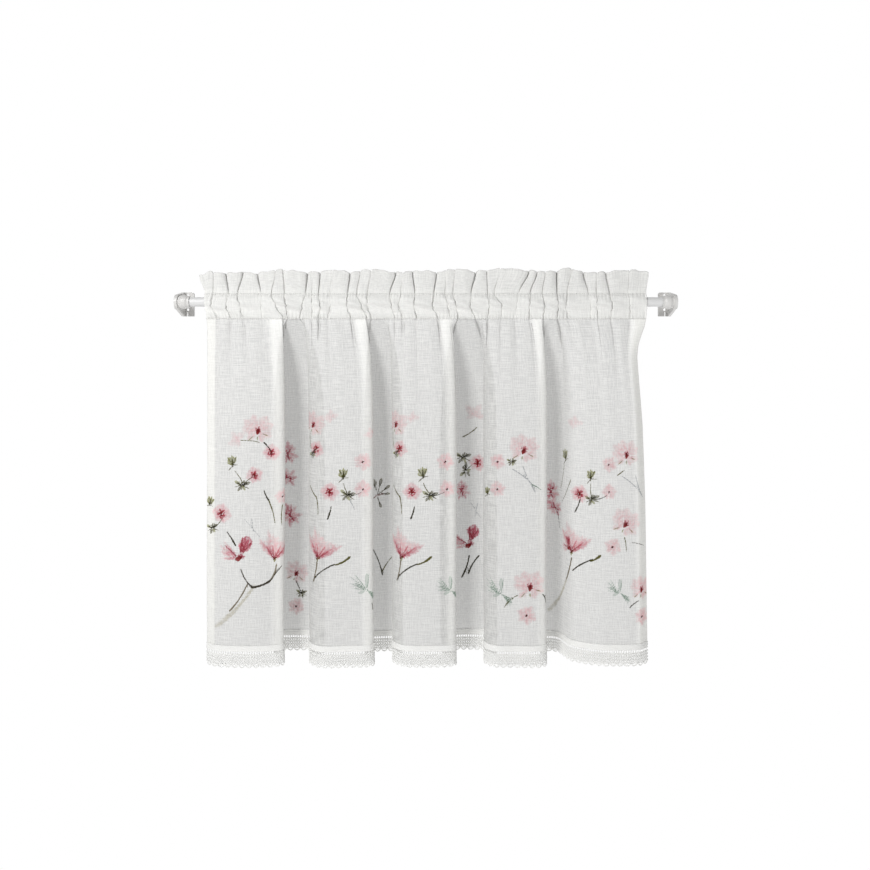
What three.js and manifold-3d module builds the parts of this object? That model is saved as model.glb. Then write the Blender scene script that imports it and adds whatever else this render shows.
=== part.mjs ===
// Sheer cafe curtain: one gathered cloth with a rod pocket and a standing frill, a scalloped lace trim
// along its lower edge, a slim rod through the pocket, and a small moulded bracket at each end.
// Millimetres, +Z up, +X along the rod, the front of the curtain faces -Y.
// The origin lies midway between the brackets, on the plane they are fastened to, level with the rod.
import * as THREE from "three";
import { mergeVertices } from "three/addons/utils/BufferGeometryUtils.js";
import Module from "manifold-3d";

// Rod
const ROD_RADIUS = 5.5;
const ROD_WALL = 0.9;
const ROD_LENGTH = 570;
const ROD_SIDES = 24;
const ROD_FROM_WALL = 30;

// Cloth
const CLOTH_THICKNESS = 1.2;
const SEAM_ABOVE_ROD = 9.2;
const SEAM_BELOW_ROD = -19.1;
const FOLD_SPEED = 9; // how fast the folds open below the pocket; higher is faster
const BODY_HEIGHTS = [-19.1, -26, -36, -50, -72, -110, -180, -392];
const SPAN_SAMPLES = 24; // samples of the hem's curve between two of its points
const LEFT_WAIST = 0.35; // place of a panel's left edge between the panel's face and the fold behind it
const RIGHT_WAIST = 0.16; // and of its right edge, which is folded more sharply
const FIRST_EDGE_BACK = 7; // the cloth's left edge lies this far behind the first panel's face
const LAST_EDGE_BACK = 8; // and its right edge this far behind the last panel's face
const COLUMN_LENGTH = 22; // one column of facets for this much flat cloth
const COLUMN_TURN = 0.68; // and one for this many radians of turn in a fold
const NORMAL_STEP = 1; // the cloth's direction is measured this far to either side

// Lace
const LACE_TOP = -387;
const LACE_BOTTOM = -412;
const LACE_THICKNESS = 1.2;
const LACE_GAP = 0.55; // between the lace and the cloth it is sewn on
const SCALLOP_PITCH = 8;
const SCALLOP_DEPTH = 2.4;
const LEAST_LACE_COLUMN = 0.4;

// Brackets
const BRACKET_HALF_SPAN = 289;
const PLATE_WIDTH = 13.6;
const PLATE_TOP = 11.1;
const PLATE_BOTTOM = -17.3;
const PLATE_THICKNESS = 3;
const PLATE_CORNER = 3;
const CHEEK_THICKNESS = 3.4;
const CHEEK_NOSE = 8.6;
const CHEEK_FOOT = 6; // the cheek's straight part, from the wall to where it starts to slope
const CHEEK_TOP_DROP = 1.5; // its upper back corner lies this far below the plate's top
const SLOT_WIDTH = 1.6;
const SLOT_HEIGHT = 5;
const SLOT_MIDDLE = 5.7;
const SCREW_RADIUS = 1.7;
const SCREW_INSET = 6.2;
const SCREW_HEIGHTS = [7.9, -9.3];
const CUP_LENGTH = 16.5;
const CUP_BORE_RADIUS = 5.85;
const CUP_SHOULDER_RADIUS = 8;
const CUP_NECK_RADIUS = 6.9;
const CUP_MOUTH_RADIUS = 6.9;
const CUP_ROOT_RADIUS = 7.75; // half way from the shoulder down to the mouth
const CUP_NECK_END = 4.8; // places along the cup, from its outer side to its mouth
const CUP_SHOULDER_START = 7.7;
const CUP_SHOULDER_END = 10.1;
const CUP_ROOT_AT = 12.3;
const CUP_MOUTH_START = 14.1;
const CUT_BEYOND = 1; // the bore is cut this far past the cup's mouth
const ROUND_SIDES = 28;
const WELD = 1e-4; // corners closer than this are one corner
const CORNER_SIDES = 6;
const NOSE_SIDES = 14;

// Turns rows of numbers into records with the column names given.
function table(columns, rows) {
  const names = columns.split(" ");
  return rows.map((row) => Object.fromEntries(names.map((name, i) => [name, row[i]])));
}

// The five broad front panels between the deep folds, from left to right, as seen from above at the hem.
// left, right: outermost x of the panel's two edges. tuckLeft, tuckRight: how far the cloth runs back
// under the panel behind each edge. roundLeft, roundRight: how far the edge's curve reaches into the
// panel. front, back: how far the panel stands before, and the fold after it lies behind, the rod.
// crown: extra swell of the panel's middle. pocketLeft, pocketRight: x of the same two edges in the pocket.
const PANELS = table(
  "left right tuckLeft tuckRight roundLeft roundRight front back crown pocketLeft pocketRight",
  [
    [-249, -160, -1, 19, 14, 4, 22, 19, 3.5, -253, -166],
    [-134, -59, 15, 13, 11, 4, 23, 17, 3.0, -139, -70],
    [-39, 35, 12, 18, 11, 4, 22, 20, 2.5, -42, 29],
    [66, 138, 17, 5, 11, 4, 23, 19, 2.0, 67, 133],
    [168, 253, -14, 2, 30, 12, 20, 12, 1.0, 155, 254],
  ],
);

// The valleys of the gathered heading, from left to right. seam, top: x of the valley at the upper seam
// and at the frill's edge. depth: how deep it is at the frill's edge. crest: height above the rod of the
// frill's edge between this valley and the next.
const VALLEYS = table("seam top depth crest", [
  [-253, -261, 3, 34],
  [-226, -232, 9, 33],
  [-216, -211, 8, 34],
  [-190, -195, 10, 37],
  [-139, -137, 12, 35],
  [-121, -122, 8, 36],
  [-85, -89, 11, 38],
  [-40, -36, 12, 36],
  [-17, -16, 7, 35],
  [9, 12, 10, 38],
  [52, 57, 12, 39],
  [124, 119, 11, 37],
  [147, 146, 9, 39],
  [187, 181, 11, 34],
  [207, 207, 9, 36],
  [254, 256.5, 3, 35],
]);
const SEAM_RIPPLE = 2.2; // depth of the gathers at the seams and round the rod
const FRILL_LEAN = -1; // the frill's middle stands this far from the rod's plane
const FRILL_ROWS = [0, 0.45, 1]; // fractions of the frill's height
const VALLEY_DIP = 3; // the frill's edge dips this much at a valley

// Inside of the rod pocket in section, from its top to its bottom: half width and height.
const POCKET_SECTION = table("half z", [
  [0, 7.8],
  [4.6, 4.5],
  [6.2, 0],
  [5.1, -5.2],
  [2.3, -12.5],
  [0, -17.6],
]);

// The value at x of the broken line through the points (xs, ys).
function along(x, xs, ys) {
  let i = 1;
  while (i < xs.length - 1 && x > xs[i]) i++;
  const t = (x - xs[i - 1]) / (xs[i] - xs[i - 1]);
  return ys[i - 1] + t * (ys[i] - ys[i - 1]);
}

// The hem seen from above: a smooth curve round each panel and through the fold behind it.
function hemSection() {
  const points = [];
  const edges = []; // which points are the panels' edges, and where they lie in the pocket
  PANELS.forEach((panel, k) => {
    const before = PANELS[k - 1];
    const waist = (share) => -panel.front + share * (panel.front + panel.back);
    if (before) points.push([panel.left + panel.tuckLeft, before.back]);
    edges.push({ point: points.length, pocket: panel.pocketLeft });
    points.push([panel.left, before ? waist(LEFT_WAIST) : FIRST_EDGE_BACK - panel.front]);
    points.push([panel.left + panel.roundLeft, -panel.front]);
    points.push([(panel.left + panel.right) / 2, -panel.front - panel.crown]);
    points.push([panel.right - panel.roundRight, -panel.front]);
    edges.push({ point: points.length, pocket: panel.pocketRight });
    points.push([panel.right, PANELS[k + 1] ? waist(RIGHT_WAIST) : LAST_EDGE_BACK - panel.front]);
    if (PANELS[k + 1]) points.push([panel.right - panel.tuckRight, panel.back]);
  });
  const curve = new THREE.CatmullRomCurve3(
    points.map(([x, y]) => new THREE.Vector3(x, y, 0)),
    false,
    "centripetal",
  );
  const samples = curve.getPoints((points.length - 1) * SPAN_SAMPLES);
  const flat = [0];
  for (let i = 1; i < samples.length; i++) {
    flat.push(flat[i - 1] + samples[i].distanceTo(samples[i - 1]));
  }
  return {
    flat,
    x: samples.map((p) => p.x),
    y: samples.map((p) => p.y),
    edgeFlat: edges.map((edge) => flat[edge.point * SPAN_SAMPLES]),
    edgePocket: edges.map((edge) => edge.pocket),
  };
}

// Flat positions of the columns of facets: closer together where the hem turns sharply.
function columnPlaces(hem) {
  const cost = [0];
  for (let i = 1; i < hem.flat.length; i++) {
    const j = Math.min(i + 1, hem.flat.length - 1);
    const h = Math.atan2(hem.y[i] - hem.y[i - 1], hem.x[i] - hem.x[i - 1]);
    const next = Math.atan2(hem.y[j] - hem.y[j - 1], hem.x[j] - hem.x[j - 1]);
    const turn = Math.abs(Math.atan2(Math.sin(next - h), Math.cos(next - h)));
    const length = hem.flat[i] - hem.flat[i - 1];
    cost.push(cost[i - 1] + length / COLUMN_LENGTH + turn / COLUMN_TURN);
  }
  const total = cost[cost.length - 1];
  const steps = Math.round(total);
  return Array.from({ length: steps + 1 }, (_, i) => along((i * total) / steps, cost, hem.flat));
}

// Where x lies among the valleys of the gathers: the valley before it, and how far on to the next.
function gatherAt(x) {
  let i = 0;
  while (i < VALLEYS.length - 2 && x > VALLEYS[i + 1].seam) i++;
  const [a, b] = [VALLEYS[i], VALLEYS[i + 1]];
  const t = THREE.MathUtils.clamp((x - a.seam) / (b.seam - a.seam), 0, 1);
  const bump = Math.sqrt(Math.sin(Math.PI * t)); // 0 in a valley, 1 on the crest
  return { a, b, t, bump };
}

// Middle of the cloth in the body of the curtain, at a flat position and a height, with its front normal.
function bodyPoint(hem, flat, z) {
  const fall = (SEAM_BELOW_ROD - z) / (SEAM_BELOW_ROD - LACE_BOTTOM);
  const open = 1 - Math.pow(1 - fall, FOLD_SPEED);
  const at = (f) => {
    const pocketX = along(f, hem.edgeFlat, hem.edgePocket);
    const ripple = -SEAM_RIPPLE * gatherAt(pocketX).bump;
    return [
      THREE.MathUtils.lerp(pocketX, along(f, hem.flat, hem.x), open),
      THREE.MathUtils.lerp(ripple, along(f, hem.flat, hem.y), open),
    ];
  };
  const [x, y] = at(flat);
  const [x0, y0] = at(flat - NORMAL_STEP);
  const [x1, y1] = at(flat + NORMAL_STEP);
  const length = Math.hypot(x1 - x0, y1 - y0);
  return { x, y, z, nx: (y1 - y0) / length, ny: -(x1 - x0) / length };
}

// Middle of the frill at an x of the seam and a fraction of its height, with its thickness along y.
function frillPoint(pocketX, rise) {
  const { a, b, t, bump } = gatherAt(pocketX);
  const depth = THREE.MathUtils.lerp(a.depth, b.depth, t);
  const swing = THREE.MathUtils.lerp(SEAM_RIPPLE, depth, rise);
  const shift = THREE.MathUtils.lerp(a.top - a.seam, b.top - b.seam, t);
  const top = a.crest - VALLEY_DIP * (1 - bump);
  return {
    x: pocketX + shift * rise,
    y: FRILL_LEAN * rise + swing * (0.5 - bump) * Math.sqrt(rise) - SEAM_RIPPLE * bump * (1 - rise),
    z: THREE.MathUtils.lerp(SEAM_ABOVE_ROD, top, rise),
  };
}

// One column of the cloth: its outer loop, from the hem up the front and down the back, and its tunnel.
function clothColumn(hem, flat) {
  const half = CLOTH_THICKNESS / 2;
  const rows = BODY_HEIGHTS.map((z) => bodyPoint(hem, flat, z));
  const pocketX = along(flat, hem.edgeFlat, hem.edgePocket);
  const ripple = SEAM_RIPPLE * gatherAt(pocketX).bump;
  const side = (p, sign) => [p.x + sign * half * p.nx, p.y + sign * half * p.ny, p.z];
  const wall = POCKET_SECTION.slice(1, -1);
  const frill = FRILL_ROWS.map((rise) => frillPoint(pocketX, rise));
  const outer = [
    ...rows.map((p) => side(p, 1)).reverse(),
    ...wall.map((p) => [pocketX, -p.half - CLOTH_THICKNESS - ripple, p.z]).reverse(),
    ...frill.map((p) => [p.x, p.y - half, p.z]),
    ...frill.map((p) => [p.x, p.y + half, p.z]).reverse(),
    ...wall.map((p) => [pocketX, p.half + CLOTH_THICKNESS, p.z]),
    ...rows.map((p) => side(p, -1)),
  ];
  const tunnel = [
    ...POCKET_SECTION.map((p) => [pocketX, -p.half - (p.half > 0 ? ripple : ripple / 2), p.z]),
    ...wall.map((p) => [pocketX, p.half, p.z]).reverse(),
  ];
  return { outer, tunnel };
}

// Joins loops of points, one loop for each column, with facets. Loops run clockwise seen from -X.
function skin(columns, inwards, triangles) {
  for (let i = 0; i + 1 < columns.length; i++) {
    const [a, b] = [columns[i], columns[i + 1]];
    for (let j = 0; j < a.length; j++) {
      const k = (j + 1) % a.length;
      const quad = inwards ? [a[j], a[k], b[k], b[j]] : [a[j], b[j], b[k], a[k]];
      triangles.push(quad[0], quad[1], quad[2], quad[0], quad[2], quad[3]);
    }
  }
}

// Closes one end of a skin, whose loops are seen along X, round a tunnel if there is one.
function cap(outer, tunnel, facesRight, triangles) {
  const flat = (loop) => loop.map(([, y, z]) => new THREE.Vector2(y, z));
  const holes = tunnel ? [flat(tunnel)] : [];
  const points = tunnel ? [...outer, ...tunnel] : outer;
  for (const [a, b, c] of THREE.ShapeUtils.triangulateShape(flat(outer), holes)) {
    const u = points[b].map((value, i) => value - points[a][i]);
    const v = points[c].map((value, i) => value - points[a][i]);
    const turnsRight = u[1] * v[2] - u[2] * v[1] > 0;
    if (turnsRight === facesRight) triangles.push(points[a], points[b], points[c]);
    else triangles.push(points[a], points[c], points[b]);
  }
}

// A geometry from a list of triangle corners, moved from the rod's axis to its place before the wall.
function geometryFrom(triangles) {
  const positions = new Float32Array(triangles.flat());
  const geometry = new THREE.BufferGeometry();
  geometry.setAttribute("position", new THREE.BufferAttribute(positions, 3));
  geometry.translate(0, -ROD_FROM_WALL, 0);
  geometry.computeVertexNormals();
  return geometry;
}

// The whole cloth: body, rod pocket with its open tunnel, and frill, as one closed solid.
function clothGeometry(hem, places) {
  const columns = places.map((flat) => clothColumn(hem, flat));
  const triangles = [];
  skin(columns.map((column) => column.outer), false, triangles);
  skin(columns.map((column) => column.tunnel), false, triangles);
  cap(columns[0].outer, columns[0].tunnel, false, triangles);
  const last = columns[columns.length - 1];
  cap(last.outer, last.tunnel, true, triangles);
  return geometryFrom(triangles);
}

// The lace: a strip before the hem, parallel to it, whose lower edge is a comb of scallops.
function laceGeometry(hem, places) {
  const near = CLOTH_THICKNESS / 2 + LACE_GAP;
  const far = near + LACE_THICKNESS;
  const rows = places.map((flat) => bodyPoint(hem, flat, LACE_TOP));
  const total = places[places.length - 1];
  const scallops = Math.round(total / SCALLOP_PITCH);
  const knots = Array.from({ length: scallops * 2 + 1 }, (_, i) => (i * total) / (scallops * 2));
  const cuts = [...knots, ...places.slice(1, -1)].sort((p, q) => p - q);
  const kept = cuts.filter((cut, i) => i === 0 || cut - cuts[i - 1] > LEAST_LACE_COLUMN);
  const columns = kept.map((flat) => {
    const swing = Math.abs(((flat / total) * scallops) % 1 - 0.5) * 2; // 1 between scallops, 0 at a tip
    const low = LACE_BOTTOM + SCALLOP_DEPTH * swing;
    const at = (distance, z) => [
      along(flat, places, rows.map((p) => p.x + distance * p.nx)),
      along(flat, places, rows.map((p) => p.y + distance * p.ny)),
      z,
    ];
    return [at(far, low), at(far, LACE_TOP), at(near, LACE_TOP), at(near, low)];
  });
  const triangles = [];
  skin(columns, false, triangles);
  cap(columns[0], null, false, triangles);
  cap(columns[columns.length - 1], null, true, triangles);
  return geometryFrom(triangles);
}

// The rod: a thin tube along X, turned from one closed profile.
function rodGeometry() {
  const half = ROD_LENGTH / 2;
  const inner = ROD_RADIUS - ROD_WALL;
  const profile = [
    [inner, -half],
    [ROD_RADIUS, -half],
    [ROD_RADIUS, half],
    [inner, half],
    [inner, -half],
  ].map(([r, y]) => new THREE.Vector2(r, y));
  const geometry = new THREE.LatheGeometry(profile, ROD_SIDES);
  geometry.rotateZ(-Math.PI / 2);
  geometry.translate(0, -ROD_FROM_WALL, 0);
  return geometry;
}

const wasm = await Module();
wasm.setup();

// A closed geometry as a solid that can be joined and cut.
function solidOf(geometry) {
  const bare = new THREE.BufferGeometry();
  bare.setAttribute("position", geometry.getAttribute("position").clone());
  if (geometry.index) bare.setIndex(geometry.index.clone());
  const merged = mergeVertices(bare, WELD);
  return new wasm.Manifold(
    new wasm.Mesh({
      numProp: 3,
      vertProperties: new Float32Array(merged.attributes.position.array),
      triVerts: new Uint32Array(merged.index.array),
    }),
  );
}

// The geometry of a solid.
function geometryOf(solid) {
  const mesh = solid.getMesh();
  const geometry = new THREE.BufferGeometry();
  geometry.setAttribute("position", new THREE.BufferAttribute(mesh.vertProperties, 3));
  geometry.setIndex(new THREE.BufferAttribute(mesh.triVerts, 1));
  geometry.computeVertexNormals();
  return geometry;
}

// The bracket's back plate: upright, with rounded top corners, two screw holes and a slot in its foot.
// Its outer edge is at x = 0 and it reaches towards +x; its back is on y = 0.
function plateGeometry() {
  const plate = new THREE.Shape();
  plate.moveTo(0, PLATE_BOTTOM);
  plate.lineTo(SLOT_MIDDLE - SLOT_WIDTH / 2, PLATE_BOTTOM);
  plate.lineTo(SLOT_MIDDLE - SLOT_WIDTH / 2, PLATE_BOTTOM + SLOT_HEIGHT);
  plate.lineTo(SLOT_MIDDLE + SLOT_WIDTH / 2, PLATE_BOTTOM + SLOT_HEIGHT);
  plate.lineTo(SLOT_MIDDLE + SLOT_WIDTH / 2, PLATE_BOTTOM);
  plate.lineTo(PLATE_WIDTH, PLATE_BOTTOM);
  plate.absarc(PLATE_WIDTH - PLATE_CORNER, PLATE_TOP - PLATE_CORNER, PLATE_CORNER, 0, Math.PI / 2, false);
  plate.absarc(PLATE_CORNER, PLATE_TOP - PLATE_CORNER, PLATE_CORNER, Math.PI / 2, Math.PI, false);
  for (const height of SCREW_HEIGHTS) {
    const hole = new THREE.Path();
    hole.absarc(SCREW_INSET, height, SCREW_RADIUS, 0, Math.PI * 2, true);
    plate.holes.push(hole);
  }
  const geometry = new THREE.ExtrudeGeometry(plate, {
    depth: PLATE_THICKNESS,
    bevelEnabled: false,
    curveSegments: CORNER_SIDES,
  });
  geometry.rotateX(Math.PI / 2);
  return geometry;
}

// The cheek: the upright end wall that reaches forward from the plate and ends in a round nose.
function cheekGeometry() {
  const cheek = new THREE.Shape();
  cheek.moveTo(0, PLATE_BOTTOM);
  cheek.lineTo(CHEEK_FOOT, PLATE_BOTTOM);
  cheek.absarc(ROD_FROM_WALL, 0, CHEEK_NOSE, -Math.PI / 2, Math.PI / 2, false);
  cheek.lineTo(CHEEK_FOOT, PLATE_TOP);
  cheek.lineTo(0, PLATE_TOP - CHEEK_TOP_DROP);
  const geometry = new THREE.ExtrudeGeometry(cheek, {
    depth: CHEEK_THICKNESS,
    bevelEnabled: false,
    curveSegments: NOSE_SIDES,
  });
  geometry.rotateX(Math.PI / 2);
  geometry.rotateZ(-Math.PI / 2);
  geometry.translate(CHEEK_THICKNESS, 0, 0);
  return geometry;
}

// The cup that takes the rod's end: a turned socket with a swelling shoulder, open towards +x.
function cupProfile(bore) {
  const start = CHEEK_THICKNESS / 2;
  const outline = bore
    ? [
        [0, CHEEK_THICKNESS],
        [CUP_BORE_RADIUS, CHEEK_THICKNESS],
        [CUP_BORE_RADIUS, CUP_LENGTH + CUT_BEYOND],
        [0, CUP_LENGTH + CUT_BEYOND],
      ]
    : [
        [0, start],
        [CUP_NECK_RADIUS, start],
        [CUP_NECK_RADIUS, CUP_NECK_END],
        [CUP_SHOULDER_RADIUS, CUP_SHOULDER_START],
        [CUP_SHOULDER_RADIUS, CUP_SHOULDER_END],
        [CUP_ROOT_RADIUS, CUP_ROOT_AT],
        [CUP_MOUTH_RADIUS, CUP_MOUTH_START],
        [CUP_MOUTH_RADIUS, CUP_LENGTH],
        [0, CUP_LENGTH],
      ];
  return outline.map(([r, y]) => new THREE.Vector2(r, y));
}

// One bracket, moulded in one piece: plate, cheek and cup, with the rod's bore cut into the cup.
function bracketGeometry(mirrored) {
  const turned = (profile) => {
    const geometry = new THREE.LatheGeometry(profile, ROUND_SIDES);
    geometry.rotateZ(-Math.PI / 2);
    geometry.translate(0, -ROD_FROM_WALL, 0);
    return solidOf(geometry);
  };
  let solid = solidOf(plateGeometry())
    .add(solidOf(cheekGeometry()))
    .add(turned(cupProfile(false)))
    .subtract(turned(cupProfile(true)));
  if (mirrored) solid = solid.mirror([1, 0, 0]);
  const side = mirrored ? BRACKET_HALF_SPAN : -BRACKET_HALF_SPAN;
  return geometryOf(solid.translate([side, 0, 0]));
}

const clothMaterial = new THREE.MeshStandardMaterial({
  color: 0xf1f1ec,
  roughness: 0.95,
  side: THREE.DoubleSide,
});
const laceMaterial = new THREE.MeshStandardMaterial({ color: 0xf4f3ee, roughness: 0.9 });
const rodMaterial = new THREE.MeshStandardMaterial({ color: 0xe9e9e8, roughness: 0.35 });
const bracketMaterial = new THREE.MeshStandardMaterial({ color: 0xe4e3e0, roughness: 0.45 });

function named(name, geometry, material) {
  const mesh = new THREE.Mesh(geometry, material);
  mesh.name = name;
  return mesh;
}

const hem = hemSection();
const places = columnPlaces(hem);
const curtain = new THREE.Group();
curtain.add(named("curtain_cloth", clothGeometry(hem, places), clothMaterial));
curtain.add(named("lace_trim", laceGeometry(hem, places), laceMaterial));
curtain.add(named("rod", rodGeometry(), rodMaterial));
curtain.add(named("bracket_left", bracketGeometry(false), bracketMaterial));
curtain.add(named("bracket_right", bracketGeometry(true), bracketMaterial.clone()));

export default curtain;
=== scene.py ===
"""Looks of a sheer cafe curtain on a slim rod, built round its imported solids.

The origin lies midway between the brackets, on the plane they are fastened to, level with the rod.
+X runs right along the rod, the front of the curtain faces -Y and +Z is up.
Lengths are millimetres, measured from the rod's axis in y and z, until a mesh is made in metres.
"""

import logging
import math
from dataclasses import dataclass, field
from enum import Enum
from typing import Any, Mapping, Sequence, Union

import bpy
import numpy as np
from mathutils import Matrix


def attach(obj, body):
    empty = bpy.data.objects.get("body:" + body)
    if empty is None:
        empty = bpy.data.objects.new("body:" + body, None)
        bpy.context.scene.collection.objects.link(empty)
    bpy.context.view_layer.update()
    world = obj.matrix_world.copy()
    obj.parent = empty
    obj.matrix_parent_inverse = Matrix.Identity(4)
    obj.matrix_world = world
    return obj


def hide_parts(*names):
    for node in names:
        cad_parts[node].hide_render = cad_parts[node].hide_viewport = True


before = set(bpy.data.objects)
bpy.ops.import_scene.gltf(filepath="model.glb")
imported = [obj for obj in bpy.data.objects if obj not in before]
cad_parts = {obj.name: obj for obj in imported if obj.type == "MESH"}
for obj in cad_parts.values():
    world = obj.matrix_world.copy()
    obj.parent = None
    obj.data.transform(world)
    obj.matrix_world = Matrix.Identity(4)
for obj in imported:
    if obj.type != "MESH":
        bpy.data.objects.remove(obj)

logging.basicConfig(level=logging.INFO, format="%(message)s")
log = logging.getLogger("curtain")

MM = 0.001
ROD_FROM_WALL = 30.0

# The photo in the rod's plane: millimetres a pixel, and x of its left edge.
PHOTO_SCALE = 1.155
PHOTO_EDGE = -492.0
PHOTO_PIXELS = 870

# Cloth
SEAM_ABOVE = 9.2
SEAM_BELOW = -19.1
CLOTH_BOTTOM = -392.0
LACE_TOP = -387.0
LACE_BOTTOM = -412.0
FOLD_SPEED = 9.0
SPAN_SAMPLES = 24
LEFT_WAIST = 0.35
RIGHT_WAIST = 0.16
FIRST_EDGE_BACK = 7.0
LAST_EDGE_BACK = 8.0
SIDE_HEM = 12.0
BOTTOM_HEM = 4.0
PLY_GAP = 0.5
PAST_EDGE = 20.0
PRINT_TOP = -104.0
CREASE_WIDTH = 0.4
CREASE_CROWDING = 0.85
POCKET_SWELL = 1.5
SEAM_PINCH = 0.6
SEAM_FORWARD = 1.4
POCKET_ROUNDNESS = 0.22
FRILL_ROUNDNESS = 0.30
STITCH_PITCH = 2.6
STITCH_LENGTH = 2.0
EDGE_COLUMN = 0.2
SHORT_REACH = 50
SHORT_STRENGTH = 1.2
LONG_STRENGTH = 0.75
# Extra layers of cloth counted at the side hems, behind the panels' edges and in the heading. The cloth
# really overlaps there; the shader turns the count into painted light, a whiter colour.
SIDE_LAYERS = 2.0
RIGHT_LAYERS = 2.3
LEFT_LAYERS = 0.4
POCKET_LAYERS = 2.45
FRILL_LAYERS = 2.05
BARE = -4.0
# Where across a panel the painted light of overlapping cloth starts and ends, and how softly it ends at the
# side hems.
RIGHT_BAND = (0.74, 0.92)
LEFT_BAND = (0.16, 0.04)
HEM_SOFTNESS = 1.0
HEM_PLIES_BEHIND = 1.6
FLUTTER = 0.8
NORMAL_STEP = 0.8
TURN_STEP = 1.0

# Panels of the hem as seen from above, from left to right.
PANEL_COLUMNS = (
    "left right tuck_left tuck_right round_left round_right "
    "front back crown pocket_left pocket_right"
)
PANELS = [
    (-249, -160, -1, 19, 14, 4, 22, 19, 3.5, -253, -166),
    (-134, -59, 15, 13, 11, 4, 23, 17, 3.0, -139, -70),
    (-39, 35, 12, 18, 11, 4, 22, 20, 2.5, -42, 29),
    (66, 138, 17, 5, 11, 4, 23, 19, 2.0, 67, 133),
    (168, 253, -14, 2, 30, 12, 20, 12, 1.0, 155, 254),
]

# Creases of the heading, read from the photo: its pixel column at the frill's edge, the upper seam, mid
# pocket and the lower seam, then the depth of the crease at the frill's edge and on the pocket.
CREASE_COLUMNS = "top upper middle lower frill pocket"
CREASE_LEVELS = ("lower", "middle", "upper", "top")
CREASES = [
    (200, 205.2, 205.9, 206.9, 1, 1),
    (214, 213.7, 212.5, 218, 2, 2),
    (225.8, 229, 227.5, 231, 9, 2.5),
    (243, 238, 241, 243.3, 8, 2.5),
    (257.5, 261, 262, 262, 9, 0.8),
    (276, 272, 277, 284, 1.5, 3),
    (283, 285, 287, 288, 3, 3.5),
    (307.5, 306, 303, 300, 10, 2.5),
    (313, 312, 313, 312, 0.5, 1.5),
    (320, 319, 321, 319, 6, 3),
    (333, 330, 331, 328, 1, 1.2),
    (350, 348, 347.5, 351, 10, 3.5),
    (360, 357, 362, 367, 2.5, 3),
    (371, 368, 368, 371.5, 2, 2.5),
    (395.8, 390, 391.7, 395, 9, 2.5),
    (403, 401, 399, 402.5, 1, 2),
    (412.5, 415, 414, 416.7, 7, 3.5),
    (436.7, 434, 432.5, 438, 9, 3.5),
    (446, 445, 448, 450, 1, 2.5),
    (455, 453, 456, 458, 1, 3),
    (475.8, 471, 470, 475, 10, 3.5),
    (486.7, 487.5, 489, 487.5, 4, 3),
    (500, 494, 501.7, 500.8, 1, 2.5),
    (529, 519, 516, 515, 7, 0.8),
    (537, 530, 529, 529, 6, 3),
    (545, 542, 544, 543, 2.5, 3),
    (556.7, 556.7, 557.5, 556.7, 10, 4),
    (571.7, 567, 565, 567.5, 2.5, 2),
    (583, 588, 590, 590, 9, 1),
    (597, 596, 596, 597, 1.5, 3),
    (605.8, 609, 611, 610, 9, 3.5),
    (629, 628, 629, 630, 1.5, 1.5),
    (648.05, 645.7, 645.9, 645.9, 1, 1),
]

# Height above the rod of the frill's edge.
CREST_COLUMNS = "x height"
CRESTS = [
    (-257, 32),
    (-248, 35),
    (-232, 33),
    (-211, 34.5),
    (-195, 33),
    (-168, 37.5),
    (-137, 34),
    (-122, 35),
    (-104, 37),
    (-88, 34),
    (-62, 38),
    (-36, 34),
    (-16, 35.5),
    (0, 36),
    (12, 34),
    (34, 38.5),
    (57, 35),
    (90, 39),
    (119, 36),
    (146, 35),
    (165, 39.5),
    (181, 34),
    (207, 34.5),
    (235, 37),
    (263, 34),
]

# How far the right edge is drawn in at distances below the rod, and how far into the cloth this reaches.
DIP_COLUMNS = "below drawn"
RIGHT_DIPS = [(19, 0), (28, 1.5), (38, 5.5), (50, 9.5), (64, 11), (90, 9.5), (140, 6), (230, 3), (390, 0)]
DIP_REACH = 45.0

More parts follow.
